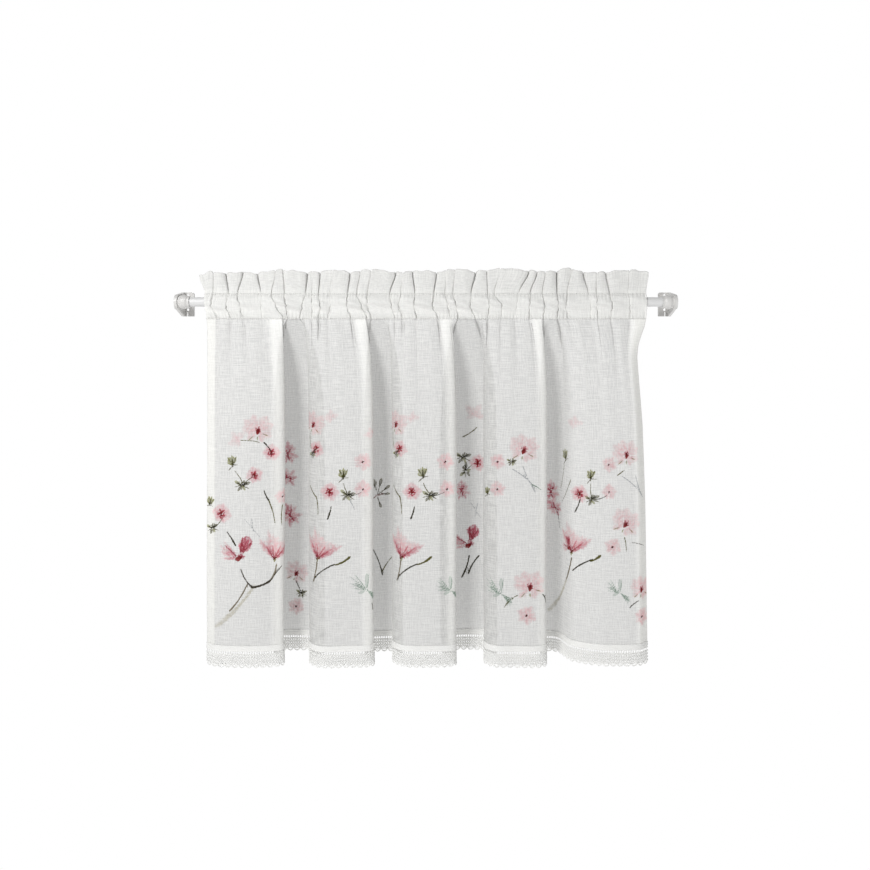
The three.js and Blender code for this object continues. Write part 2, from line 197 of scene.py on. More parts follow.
# Gathers that run down from the lower seam: x at the seam, drift along the flat cloth for each millimetre
# of drop, depth (below zero for a ridge), width on the flat cloth, and how far down they reach.
GATHER_COLUMNS = "seam drift depth width reach"
GATHERS = [
    (-249, 0.02, -1.2, 9, 120),
    (-240, -0.05, 1.6, 6, 60),
    (-232, -0.04, -1.6, 8, 95),
    (-225, 0.03, 1.8, 6, 45),
    (-211, 0.10, 2.2, 6, 70),
    (-200, 0.05, -1.4, 9, 110),
    (-189, 0.12, 2.4, 5, 60),
    (-180, 0.08, -1.5, 8, 130),
    (-164, 0.05, 1.4, 5, 40),
    (-159, 0.00, 1.2, 5, 30),
    (-140, -0.03, -1.4, 8, 90),
    (-131, 0.02, 1.8, 5, 45),
    (-123.6, -0.02, 3.6, 4.5, 22),
    (-118, 0.03, -1.6, 8, 80),
    (-113, 0.05, 1.4, 6, 70),
    (-104, 0.04, -1.2, 10, 150),
    (-95, 0.07, 1.6, 6, 60),
    (-86.6, 0.03, 2.8, 5, 36),
    (-68, 0.04, 1.2, 5, 40),
    (-63, 0.0, 1.0, 5, 26),
    (-44, -0.03, -1.4, 8, 95),
    (-36, 0.02, 1.8, 5, 50),
    (-27, -0.02, 3.4, 4.5, 24),
    (-20, 0.03, -1.5, 9, 85),
    (-11, 0.04, 1.9, 6, 60),
    (2, 0.06, -1.2, 9, 140),
    (13.9, 0.04, 2.8, 5, 36),
    (28, 0.03, 1.2, 5, 35),
    (37, -0.02, 1.4, 5, 30),
    (56, -0.04, 2.4, 5, 45),
    (64, 0.02, -1.4, 8, 90),
    (71, 0.03, 2.0, 5, 36),
    (86, 0.04, 1.6, 6, 80),
    (96, 0.02, -1.4, 9, 120),
    (103, 0.05, 1.6, 5, 40),
    (119, 0.06, 2.2, 5, 60),
    (127, 0.04, -1.4, 8, 80),
    (135, 0.03, 1.5, 5, 34),
    (151, 0.0, 2.8, 5, 40),
    (163, -0.02, 2.0, 5, 60),
    (174, 0.01, -2.4, 10, 300),
    (189.5, 0.03, 2.2, 7, 260),
    (197, 0.03, -1.9, 9, 240),
    (212, 0.06, 2.4, 5, 90),
    (222, 0.03, -1.4, 9, 120),
    (235, 0.05, 2.4, 4, 24),
    (246, 0.02, -1.2, 8, 110),
]


class Tone(Enum):
    """Colours in linear light. Print colours are what the dye leaves of the cloth's own colour."""

    # Tone in the weave's gaps: partly the weave's own pattern, partly painted shade for the dimmer space seen
    # through the gaps.
    CLOTH_GAP_SHADE = (0.600, 0.600, 0.590)
    CLOTH_THREAD = (0.760, 0.758, 0.742)
    # Painted light: the whiter tone that overlapping layers of cloth are painted towards.
    CLOTH_OVERLAP_LIT = (0.950, 0.948, 0.922)
    LACE_THREAD = (0.900, 0.898, 0.878)
    LACE = (0.960, 0.958, 0.938)
    ROD = (0.680, 0.680, 0.678)
    BRACKET = (0.640, 0.632, 0.618)
    STUDIO = (1.000, 1.000, 1.000)
    BLUSH = (0.960, 0.700, 0.720)
    PALE_PINK = (0.930, 0.560, 0.600)
    ROSE_PINK = (0.850, 0.370, 0.430)
    DEEP_ROSE = (0.600, 0.125, 0.190)
    CRIMSON = (0.340, 0.028, 0.060)
    RED = (0.360, 0.032, 0.036)
    DARK_RED = (0.085, 0.010, 0.012)
    SPRING_GREEN = (0.350, 0.360, 0.085)
    OLIVE = (0.130, 0.120, 0.026)
    DARK_OLIVE = (0.045, 0.038, 0.018)
    GREY_GREEN = (0.340, 0.470, 0.390)
    DEEP_GREEN = (0.130, 0.240, 0.165)
    BARK = (0.270, 0.230, 0.170)
    PALE_BARK = (0.740, 0.710, 0.620)
    TWIG = (0.065, 0.052, 0.036)
    GREY_TWIG = (0.450, 0.470, 0.500)


def table(columns: str, rows: Sequence[Sequence[float]]) -> dict[str, np.ndarray]:
    """Turns rows of numbers into one array for each named column.

    Args:
        columns: the column names, separated by spaces.
        rows: one sequence of numbers for each row.

    Returns:
        The arrays by column name.
    """
    values = np.array(rows, dtype=float)
    return {name: values[:, i] for i, name in enumerate(columns.split())}


def lerp(a: Any, b: Any, t: Any) -> Any:
    """Blends from a at t = 0 to b at t = 1.

    Args:
        a: value or array at 0.
        b: value or array at 1.
        t: share of b.

    Returns:
        The blended value or array.
    """
    return a + (b - a) * t


def smooth_step(low: float, high: float, x: np.ndarray) -> np.ndarray:
    """Eases from 0 at low to 1 at high.

    Args:
        low: where the ramp starts.
        high: where it ends.
        x: places to look at.

    Returns:
        The eased share at each place.
    """
    t = np.clip((x - low) / (high - low), 0.0, 1.0)
    return t * t * (3.0 - 2.0 * t)


def centripetal_curve(points: np.ndarray, span_samples: int) -> np.ndarray:
    """Smooth curve through points: a Catmull-Rom spline whose knots lie at the square root of distance.

    Args:
        points: control points, one row each.
        span_samples: samples in each span between two points.

    Returns:
        Points along the curve, the first and last control points included.
    """
    ends = (2 * points[:1] - points[1:2], 2 * points[-1:] - points[-2:-1])
    padded = np.concatenate([ends[0], points, ends[1]])
    p0, p1, p2, p3 = (padded[i : len(padded) - 3 + i, None, :] for i in range(4))
    knots = np.linalg.norm(np.diff(padded, axis=0), axis=1) ** 0.5
    d0, d1, d2 = (knots[i : len(knots) - 2 + i, None, None] for i in range(3))
    t = (np.arange(span_samples) / span_samples)[None, :, None]
    slope_1 = ((p1 - p0) / d0 - (p2 - p0) / (d0 + d1) + (p2 - p1) / d1) * d1
    slope_2 = ((p2 - p1) / d1 - (p3 - p1) / (d1 + d2) + (p3 - p2) / d2) * d1
    square = 3 * (p2 - p1) - 2 * slope_1 - slope_2
    cube = 2 * (p1 - p2) + slope_1 + slope_2
    spans = p1 + slope_1 * t + square * t**2 + cube * t**3
    return np.concatenate([spans.reshape(-1, points.shape[1]), points[-1:]])


@dataclass
class HungCloth:
    """The shape the cloth hangs in: a flat position and a height give a point in space."""

    width: float = 0.0
    flat: np.ndarray = field(default_factory=lambda: np.zeros(0))
    x: np.ndarray = field(default_factory=lambda: np.zeros(0))
    y: np.ndarray = field(default_factory=lambda: np.zeros(0))
    edge_flat: np.ndarray = field(default_factory=lambda: np.zeros(0))
    edge_pocket: np.ndarray = field(default_factory=lambda: np.zeros(0))

    def __post_init__(self) -> None:
        """Draws the hem's section round the panels and measures flat positions along it."""
        points: list[tuple[float, float]] = []
        edges: list[tuple[int, float]] = []
        names = PANEL_COLUMNS.split()
        panels = [dict(zip(names, row)) for row in PANELS]
        for k, panel in enumerate(panels):
            fold_depth = panel["front"] + panel["back"]
            left_waist = -panel["front"] + LEFT_WAIST * fold_depth
            right_waist = -panel["front"] + RIGHT_WAIST * fold_depth
            if k > 0:
                points.append((panel["left"] + panel["tuck_left"], panels[k - 1]["back"]))
            edges.append((len(points), panel["pocket_left"]))
            points.append((panel["left"], left_waist if k > 0 else FIRST_EDGE_BACK - panel["front"]))
            points.append((panel["left"] + panel["round_left"], -panel["front"]))
            points.append(((panel["left"] + panel["right"]) / 2, -panel["front"] - panel["crown"]))
            points.append((panel["right"] - panel["round_right"], -panel["front"]))
            last = k == len(panels) - 1
            edges.append((len(points), panel["pocket_right"]))
            points.append((panel["right"], LAST_EDGE_BACK - panel["front"] if last else right_waist))
            if not last:
                points.append((panel["right"] - panel["tuck_right"], panel["back"]))
        curve = centripetal_curve(np.array(points, dtype=float), SPAN_SAMPLES)
        steps = np.linalg.norm(np.diff(curve, axis=0), axis=1)
        self.flat = np.concatenate([[0.0], np.cumsum(steps)])
        self.width = float(self.flat[-1])
        self.x, self.y = curve[:, 0], curve[:, 1]
        self.edge_flat = self.flat[[i * SPAN_SAMPLES for i, _ in edges]]
        self.edge_pocket = np.array([pocket for _, pocket in edges])
        self.flat, self.x, self.y = (self.extended(v, steps) for v in (self.flat, self.x, self.y))
        self.edge_pocket = self.extended(self.edge_pocket, np.diff(self.edge_flat))
        self.edge_flat = self.extended(self.edge_flat, np.diff(self.edge_flat))

    @staticmethod
    def extended(values: np.ndarray, steps: np.ndarray) -> np.ndarray:
        """Carries values on in a straight line past both ends of the cloth, for threads that lie there.

        Args:
            values: one value for each known place.
            steps: distances between the places.

        Returns:
            The values with one more at each end.
        """
        before = values[0] - (values[1] - values[0]) * PAST_EDGE / steps[0]
        after = values[-1] + (values[-1] - values[-2]) * PAST_EDGE / steps[-1]
        return np.concatenate([[before], values, [after]])

    def pocket_x(self, flat: np.ndarray) -> np.ndarray:
        """Where flat positions lie in the pocket.

        Args:
            flat: positions along the flat cloth.

        Returns:
            Their x in the pocket.
        """
        return np.interp(flat, self.edge_flat, self.edge_pocket)

    def flat_of_pocket(self, x: np.ndarray) -> np.ndarray:
        """The flat positions that lie at places in the pocket.

        Args:
            x: places along the pocket.

        Returns:
            The flat positions.
        """
        return np.interp(x, self.edge_pocket, self.edge_flat)

    def panel_share(self, flat: np.ndarray) -> np.ndarray:
        """How far across its front panel each flat position lies.

        Args:
            flat: positions along the flat cloth.

        Returns:
            From 0 at a panel's left edge to 1 at its right edge, and on to 2 through the fold behind.
        """
        number = np.interp(flat, self.edge_flat, np.arange(len(self.edge_flat)))
        return (number - 1.0) % 2.0

    def base(self, flat: np.ndarray, z: np.ndarray) -> tuple[np.ndarray, np.ndarray]:
        """The broad folds, which open quickly below the pocket and then hang straight.

        Args:
            flat: positions along the flat cloth.
            z: heights from the rod's axis.

        Returns:
            The x and y of each place.
        """
        fall = np.clip((SEAM_BELOW - z) / (SEAM_BELOW - LACE_BOTTOM), 0.0, 1.0)
        opened = 1.0 - (1.0 - fall) ** FOLD_SPEED
        x = lerp(self.pocket_x(flat), np.interp(flat, self.flat, self.x), opened)
        y = lerp(seam_depth(self.pocket_x(flat)), np.interp(flat, self.flat, self.y), opened)
        return x, y

    def gathers(self, flat: np.ndarray, z: np.ndarray) -> tuple[np.ndarray, np.ndarray]:
        """The fine gathers: soft troughs and ridges that run down from the seam and fade out.

        Each is a bell across its line, and draws the cloth beside it in towards the line.

        Args:
            flat: positions along the flat cloth.
            z: heights from the rod's axis.

        Returns:
            How far each place lies behind the broad folds, and how far it is drawn to the right.
        """
        down = SEAM_BELOW - z
        depth = np.zeros(np.broadcast(flat, z).shape)
        drawn = np.zeros(depth.shape)
        columns = table(GATHER_COLUMNS, GATHERS)
        for seam, drift, deep, width, reach in zip(*(columns[n] for n in GATHER_COLUMNS.split())):
            middle = self.flat_of_pocket(np.array(seam)) + drift * down
            spread = width * (0.8 + 0.5 * down / reach)
            aside = (flat - middle) / spread
            fade = np.exp(-((down / reach) ** 1.5)) * smooth_step(-1.0, 9.0, down)
            deep = deep * (SHORT_STRENGTH if reach < SHORT_REACH else LONG_STRENGTH)
            depth = depth + deep * np.exp(-np.abs(aside) ** 1.7) * fade
            drawn = drawn - 0.85 * width * min(0.4 * abs(deep), 1.0) * aside * np.exp(-(aside**2)) * fade
        return depth, drawn

    def flutter(self, flat: np.ndarray, z: np.ndarray) -> np.ndarray:
        """Slight unevenness of the hanging cloth: three slow waves that grow towards the hem.

        Args:
            flat: positions along the flat cloth.
            z: heights from the rod's axis.

        Returns:
            How far each place lies behind the broad folds.
        """
        fall = np.clip((SEAM_BELOW - z) / (SEAM_BELOW - LACE_BOTTOM), 0.0, 1.0)
        wave = 0.9 * np.sin(flat / 17.0 + 0.8 * np.sin(flat / 41.0) + 2.2 * fall)
        wave = wave + 0.6 * np.sin(flat / 9.3 + 1.7 * np.sin(flat / 60.0) - 3.1 * fall)
        wave = wave + 0.8 * np.sin(flat / 33.0 + 5.0 * fall + 1.0)
        return wave * fall * FLUTTER

    def middle(self, flat: np.ndarray, z: np.ndarray) -> np.ndarray:
        """Points on the cloth.

        Args:
            flat: positions along the flat cloth.
            z: heights from the rod's axis.

        Returns:
            An array of x, y, z for each place.
        """
        flat, z = np.broadcast_arrays(np.asarray(flat, float), np.asarray(z, float))
        step = TURN_STEP
        x, y = self.base(flat, z)
        x0, y0 = self.base(flat - step, z)
        x1, y1 = self.base(flat + step, z)
        length = np.hypot(x1 - x0, y1 - y0)
        depth, drawn = self.gathers(flat, z)
        back = depth + self.flutter(flat, z)
        right_x, right_y = (x1 - x0) / length, (y1 - y0) / length
        x = x - back * right_y + drawn * right_x - self.right_dip(flat, z)
        y = y + back * right_x + drawn * right_y
        return np.stack([x, y, z], axis=-1)

    def right_dip(self, flat: np.ndarray, z: np.ndarray) -> np.ndarray:
        """The right edge is drawn in below the pocket, which is stretched wider than the cloth under it.

        Args:
            flat: positions along the flat cloth.
            z: heights from the rod's axis.

        Returns:
            How far each place is drawn to the left.
        """
        dips = table(DIP_COLUMNS, RIGHT_DIPS)
        depth = np.interp(-z, dips["below"], dips["drawn"])
        return depth * smooth_step(self.width - DIP_REACH, self.width, flat)

    def front_normal(self, flat: np.ndarray, z: np.ndarray) -> np.ndarray:
        """Level directions that point out of the front of the cloth.

        Args:
            flat: positions along the flat cloth.
            z: heights from the rod's axis.

        Returns:
            A unit x, y, z for each place.
        """
        step = NORMAL_STEP
        along = self.middle(flat + step, z) - self.middle(flat - step, z)
        length = np.hypot(along[..., 0], along[..., 1])
        return np.stack(
            [along[..., 1] / length, -along[..., 0] / length, np.zeros_like(length)], axis=-1
        )


def crease_table() -> dict[str, np.ndarray]:
    """The creases by column, with pixel columns of the photo turned into x.

    Returns:
        The arrays by column name, the places to a tenth of a millimetre.
    """
    creases = table(CREASE_COLUMNS, CREASES)
    for level in CREASE_LEVELS:
        creases[level] = np.round(PHOTO_EDGE + PHOTO_SCALE * creases[level], 1)
    return creases


def crease_bump(share: np.ndarray, gap: np.ndarray, roundness: float) -> np.ndarray:
    """Rise of a gather between two creases: a broad swell with a narrow, sharp fall into each crease.

    Args:
        share: how far each place lies from one crease to the next, 0 to 1.
        gap: distance between the two creases.
        roundness: share of the broad swell.

    Returns:
        The rise at each place: 0 in the creases, near 1 on the crest.
    """
    share = np.clip(share, 0.0, 1.0)
    swell = np.sin(np.pi * share) ** 0.8
    away = np.minimum(share, 1.0 - share) * gap
    return lerp(1.0 - np.exp(-((away / CREASE_WIDTH) ** 1.4)), swell, roundness)


def crease_gaps(number: np.ndarray) -> np.ndarray:
    """Distance between the two creases on either side of places among the creases.

    Args:
        number: places among the creases, a whole number in each crease.

    Returns:
        The distances.
    """
    gaps = np.diff(crease_table()["middle"])
    return gaps[np.clip(np.floor(number).astype(int), 0, len(gaps) - 1)]


def seam_depth(x: np.ndarray) -> np.ndarray:
    """Place of the cloth along y at the lower seam, where it is puckered by the creases.

    Args:
        x: places along the pocket.

    Returns:
        The y of each place.
    """
    creases = crease_table()
    number = np.interp(x, creases["lower"], np.arange(len(CREASES)))
    depth = np.interp(number, np.arange(len(CREASES)), creases["pocket"])
    bump = crease_bump(number % 1.0, crease_gaps(number), POCKET_ROUNDNESS)
    return -SEAM_FORWARD - SEAM_PINCH * POCKET_SWELL * depth * bump


@dataclass(frozen=True)
class Grid:
    """One or more grids of points of the same size, with what each point knows of the flat cloth.

    The columns of a ring grid run round, so that the last one joins the first.
    """

    points: np.ndarray
    uv: np.ndarray
    ring: bool = False
    floats: Mapping[str, np.ndarray] = field(default_factory=dict)
    vectors: Mapping[str, np.ndarray] = field(default_factory=dict)
    colors: Mapping[str, np.ndarray] = field(default_factory=dict)

    def quads(self, start: int, facing_front: bool) -> np.ndarray:
        """Faces between neighbouring points.

        Args:
            start: number of the first point.
            facing_front: whether rows running up and columns running right face the front.

        Returns:
            Four point numbers for each face.
        """
        rows, columns = self.points.shape[-3:-1]
        index = start + np.arange(self.points.size // 3).reshape(-1, rows, columns)
        if self.ring:
            index = np.concatenate([index, index[:, :, :1]], axis=2)
        corners = [index[:, :-1, :-1], index[:, :-1, 1:], index[:, 1:, 1:], index[:, 1:, :-1]]
        if not facing_front:
            corners = corners[::-1]
        return np.stack(corners, axis=-1).reshape(-1, 4)


def grid_object(name: str, grids: Sequence[Grid], facing_front: bool = True) -> bpy.types.Object:
    """Makes a mesh object from grids of points in millimetres from the rod's axis.

    Args:
        name: the object's name.
        grids: the grids, all with the same attributes.
        facing_front: whether rows running up and columns running right face the front.

    Returns:
        The object, linked to the scene.
    """
    sizes = np.array([grid.points.size // 3 for grid in grids])
    starts = np.concatenate([[0], np.cumsum(sizes)[:-1]])
    quads = np.concatenate([grid.quads(int(start), facing_front) for grid, start in zip(grids, starts)])
    vertices = np.concatenate([grid.points.reshape(-1, 3) for grid in grids])
    vertices = (vertices + np.array([0.0, -ROD_FROM_WALL, 0.0])) * MM
    uv = np.concatenate([grid.uv.reshape(-1, 2) for grid in grids]) * MM
    mesh = bpy.data.meshes.new(name)
    mesh.vertices.add(len(vertices))
    mesh.vertices.foreach_set("co", vertices.astype(np.float32).ravel())
    mesh.loops.add(quads.size)
    mesh.loops.foreach_set("vertex_index", quads.astype(np.int32).ravel())
    mesh.polygons.add(len(quads))
    mesh.polygons.foreach_set("loop_start", np.arange(0, quads.size, 4, dtype=np.int32))
    mesh.update(calc_edges=True)
    mesh.polygons.foreach_set("use_smooth", np.ones(len(quads), dtype=bool))
    layer = mesh.uv_layers.new(name="FlatCloth")
    layer.data.foreach_set("uv", uv[quads.ravel()].astype(np.float32).ravel())
    kinds = (
        ("floats", "FLOAT", "value"),
        ("vectors", "FLOAT_VECTOR", "vector"),
        ("colors", "FLOAT_COLOR", "color"),
    )
    for held, kind, part in kinds:
        for key in getattr(grids[0], held):
            values = np.concatenate([getattr(grid, held)[key].ravel() for grid in grids])
            mesh.attributes.new(key, kind, "POINT").data.foreach_set(part, values.astype(np.float32))
    mesh.validate()
    made = bpy.data.objects.new(name, mesh)
    bpy.context.scene.collection.objects.link(made)
    log.info("%s: %d faces", name, len(quads))
    return made


@dataclass
class Heading:
    """The double top of the cloth: rod pocket between two seams, and the frill that stands above it."""

    columns_each: int = 24
    pocket_rows: int = 18
    frill_rows: int = 16
    back_rows: int = 12
    frill_front: float = -2.6
    frill_gap: float = 0.9
    pocket_half: tuple = (0.3, 3.4, 5.6, 6.6, 5.4, 0.4)
    pocket_z: tuple = (-19.1, -12.5, -5.2, 0.0, 4.5, 9.2)

    def crease_x(self, level: np.ndarray, number: np.ndarray) -> np.ndarray:
        """Place of each column at each level, between the lower seam and the frill's edge.

        Args:
            level: 0 at the lower seam, 1 at mid pocket, 2 at the upper seam, 3 at the frill's edge.
            number: place among the creases, a whole number in each crease.

        Returns:
            The x of each place.
        """
        creases = crease_table()
        stack = np.stack([creases[name] for name in CREASE_LEVELS])
        order = np.arange(len(CREASES))
        at_levels = np.stack([np.interp(number, order, row) for row in stack])
        low = np.clip(np.floor(level).astype(int), 0, 2)
        share = level - low
        eased = share * share * (3.0 - 2.0 * share)
        column = np.arange(at_levels.shape[1])[None, :]
        return lerp(at_levels[low, column], at_levels[low + 1, column], eased)

    def surface(self) -> tuple[np.ndarray, np.ndarray]:
        """The heading as a grid: up the front of the pocket and frill, over the top and down the back.

        In section the pocket bulges round the rod and the frill rises from the upper seam; across, each
        gather swells between its two creases.

        Returns:
            The points, and the length along the cloth of each row from the lower seam.
        """
        count = len(CREASES) - 1
        number = np.linspace(0.0, count, count * self.columns_each + 1)
        number = number - CREASE_CROWDING * np.sin(2.0 * np.pi * number) / (2.0 * np.pi)
        creases = crease_table()
        order = np.arange(len(CREASES))
        share = number % 1.0
        bump = crease_bump(share, crease_gaps(number), POCKET_ROUNDNESS)
        flute = crease_bump(share, crease_gaps(number), FRILL_ROUNDNESS)
        pocket_depth = np.interp(number, order, creases["pocket"])
        frill_depth = np.interp(number, order, creases["frill"])
        crests = table(CREST_COLUMNS, CRESTS)

        def wall(rows: int, front: bool) -> np.ndarray:
            """One wall of the pocket, from the lower seam to the upper one.

            Args:
                rows: rows of points.
                front: whether it is the front wall.

            Returns:
                The points.
            """
            t = np.linspace(0.0, 1.0, rows)[:, None]
            z = lerp(SEAM_BELOW, SEAM_ABOVE, t)
            level = np.interp(z, (SEAM_BELOW, 0.5 * (SEAM_BELOW + SEAM_ABOVE), SEAM_ABOVE), (0, 1, 2))
            half = np.interp(z, self.pocket_z, self.pocket_half)
            x = self.crease_x(level + 0.0 * number[None, :], number)
            sway = 0.5 * np.sin(0.9 * z + 3.0 * number[None, :])
            sway = sway + 0.35 * np.sin(2.0 * z + 7.0 * number[None, :])
            pinch = lerp(SEAM_PINCH, 1.0, np.sin(np.pi * t) ** 0.6)
            uneven = 0.6 + 0.4 * np.sin(0.4 * z + 2.4 * number[None, :])
            swell = pocket_depth * bump * pinch * lerp(1.0, uneven, np.sin(np.pi * t))
            pucker = np.sin(1.05 * x + 1.3 * np.sin(x / 23.0)) * (1.0 - 0.45 * np.sin(np.pi * t))
            tuck = np.sin(1.7 * x + 2.0 * np.sin(x / 7.0)) * (0.12 + 0.5 * np.abs(np.cos(np.pi * t)) ** 5)
            front_y = -half - POCKET_SWELL * swell - tuck
            y = front_y if front else half + 1.9 * pucker + 1.2 * pocket_depth * (1.0 - bump)
            y = y - SEAM_FORWARD * (smooth_step(2.0, SEAM_ABOVE, z) + smooth_step(-9.0, SEAM_BELOW, z))
            return np.stack([x + sway * np.sin(np.pi * t), y + 0.0 * x, z + 0.0 * x], axis=-1)

        def frill(rows: int, front: bool) -> np.ndarray:
            """One layer of the frill, from the upper seam to its edge.

            Args:
                rows: rows of points.
                front: whether it is the front layer.

            Returns:
                The points.
            """
            rise = np.linspace(0.0, 1.0, rows)[:, None]
            x = self.crease_x(2.0 + rise + 0.0 * number[None, :], number)
            edge = np.interp(x[-1:], crests["x"], crests["height"]) - 2.2 * (1.0 - flute)
            edge = edge + 0.5 * np.sin(x[-1:] / 3.1) + 0.4 * np.sin(x[-1:] / 1.9 + 1.0)
            z = lerp(SEAM_ABOVE, edge, rise)
            pinched = SEAM_PINCH * POCKET_SWELL * pocket_depth
            depth = lerp(pinched, 1.1 * np.maximum(frill_depth - 0.8, 0.0), rise**0.8)
            y = self.frill_front * rise - (pinched + SEAM_FORWARD) * (1.0 - rise) ** 2
            y = y + depth * (1.0 - flute)
            y = y + (0.4 if front else 1.2) * np.sin(x / 3.0 + 2.0 * rise + np.sin(x / 23.0)) * rise
            return np.stack([x, y + (-0.5 if front else 0.5) * self.frill_gap, z], axis=-1)

        front_wall = wall(self.pocket_rows, True)
        front_frill = frill(self.frill_rows, True)
        back_frill = frill(self.frill_rows, False)[::-1]
        back_wall = wall(self.back_rows, False)[::-1]
        top = 0.5 * (front_frill[-1:] + back_frill[:1]) + np.array([0.0, 0.0, 0.5])
        points = np.concatenate([front_wall, front_frill[1:], top, back_frill, back_wall[1:]])
        steps = np.linalg.norm(np.diff(points[:, :: self.columns_each], axis=0), axis=-1)
        length = np.concatenate([[0.0], np.cumsum(steps.mean(axis=1))])
        return points, length

    @staticmethod
    def stitches(row: np.ndarray) -> Grid:
        """A row of stitches: short threads with pointed ends that lie along one row of the heading.

        Args:
            row: points of the heading along the seam.

        Returns:
            The threads.
        """
        reach = np.concatenate([[0.0], np.cumsum(np.linalg.norm(np.diff(row, axis=0), axis=1))])
        first = np.arange(0.0, reach[-1] - STITCH_PITCH, STITCH_PITCH)
        share = np.array([0.0, 0.15, 0.5, 0.85, 1.0])
        at = first[:, None] + STITCH_LENGTH * share
        path = np.stack([np.interp(at, reach, row[:, axis]) for axis in range(3)], axis=-1)
        way = path[:, -1:] - path[:, :1]
        out = np.stack([way[..., 1], -way[..., 0], 0.0 * way[..., 0]], axis=-1)
        out = out / np.linalg.norm(out, axis=-1, keepdims=True)
        turn = np.arange(4) * 0.5 * np.pi
        swell = np.array([0.05, 1.0, 1.0, 1.0, 0.05])[:, None]
        lift = (0.55 + 0.35 * swell * np.sin(turn))[..., None] * out[:, :, None, :]
        aside = (0.60 * swell * np.cos(turn))[..., None] * np.array([0.0, 0.0, 1.0])
        points = path[:, :, None, :] + lift + aside
        # Painted light: the stitches get the pocket's whiter overlap tone.
        floats = {"plies_painted_light": np.full(points.shape[:-1], POCKET_LAYERS)}
        return Grid(points, points[..., ::2], ring=True, floats=floats)


class Layer(Enum):
    """Layers of the print, each laid over the one before."""

    PETALS = "petals"
    TWIGS = "twigs"
    LEAVES = "leaves"
    CORES = "cores"


# How strong the dye is at the tip of a stroke, where it is 1 at the root.
TIP_STRENGTH = {Layer.PETALS: 0.55, Layer.TWIGS: 0.9, Layer.LEAVES: 0.9, Layer.CORES: 0.9}


@dataclass(frozen=True)
class Stroke:
    """One brush stroke of a motif, shaped like a petal or a leaf.

    Lengths are shares of the motif's size, the width is a share of the stroke's own length, and the
    angle is in degrees from level to the right.
    """

    layer: Layer
    root: Tone
    tip: Tone
    cover: float
    angle: float
    start: float
    length: float
    width: float
    fullest: float = 0.58


def strokes(
    layer: Layer, root: Tone, tip: Tone, cover: float, rows: Sequence[Sequence[float]]
) -> tuple[Stroke, ...]:
    """Strokes that share a layer and dyes.

    Args:
        layer: the layer of the print.
        root: dye at the root.
        tip: dye at the tip.
        cover: strength of the dye.
        rows: angle, start, length, half width and, if wanted, the share at which each is fullest.

    Returns:
        The strokes.
    """
    return tuple(Stroke(layer, root, tip, cover, *row) for row in rows)


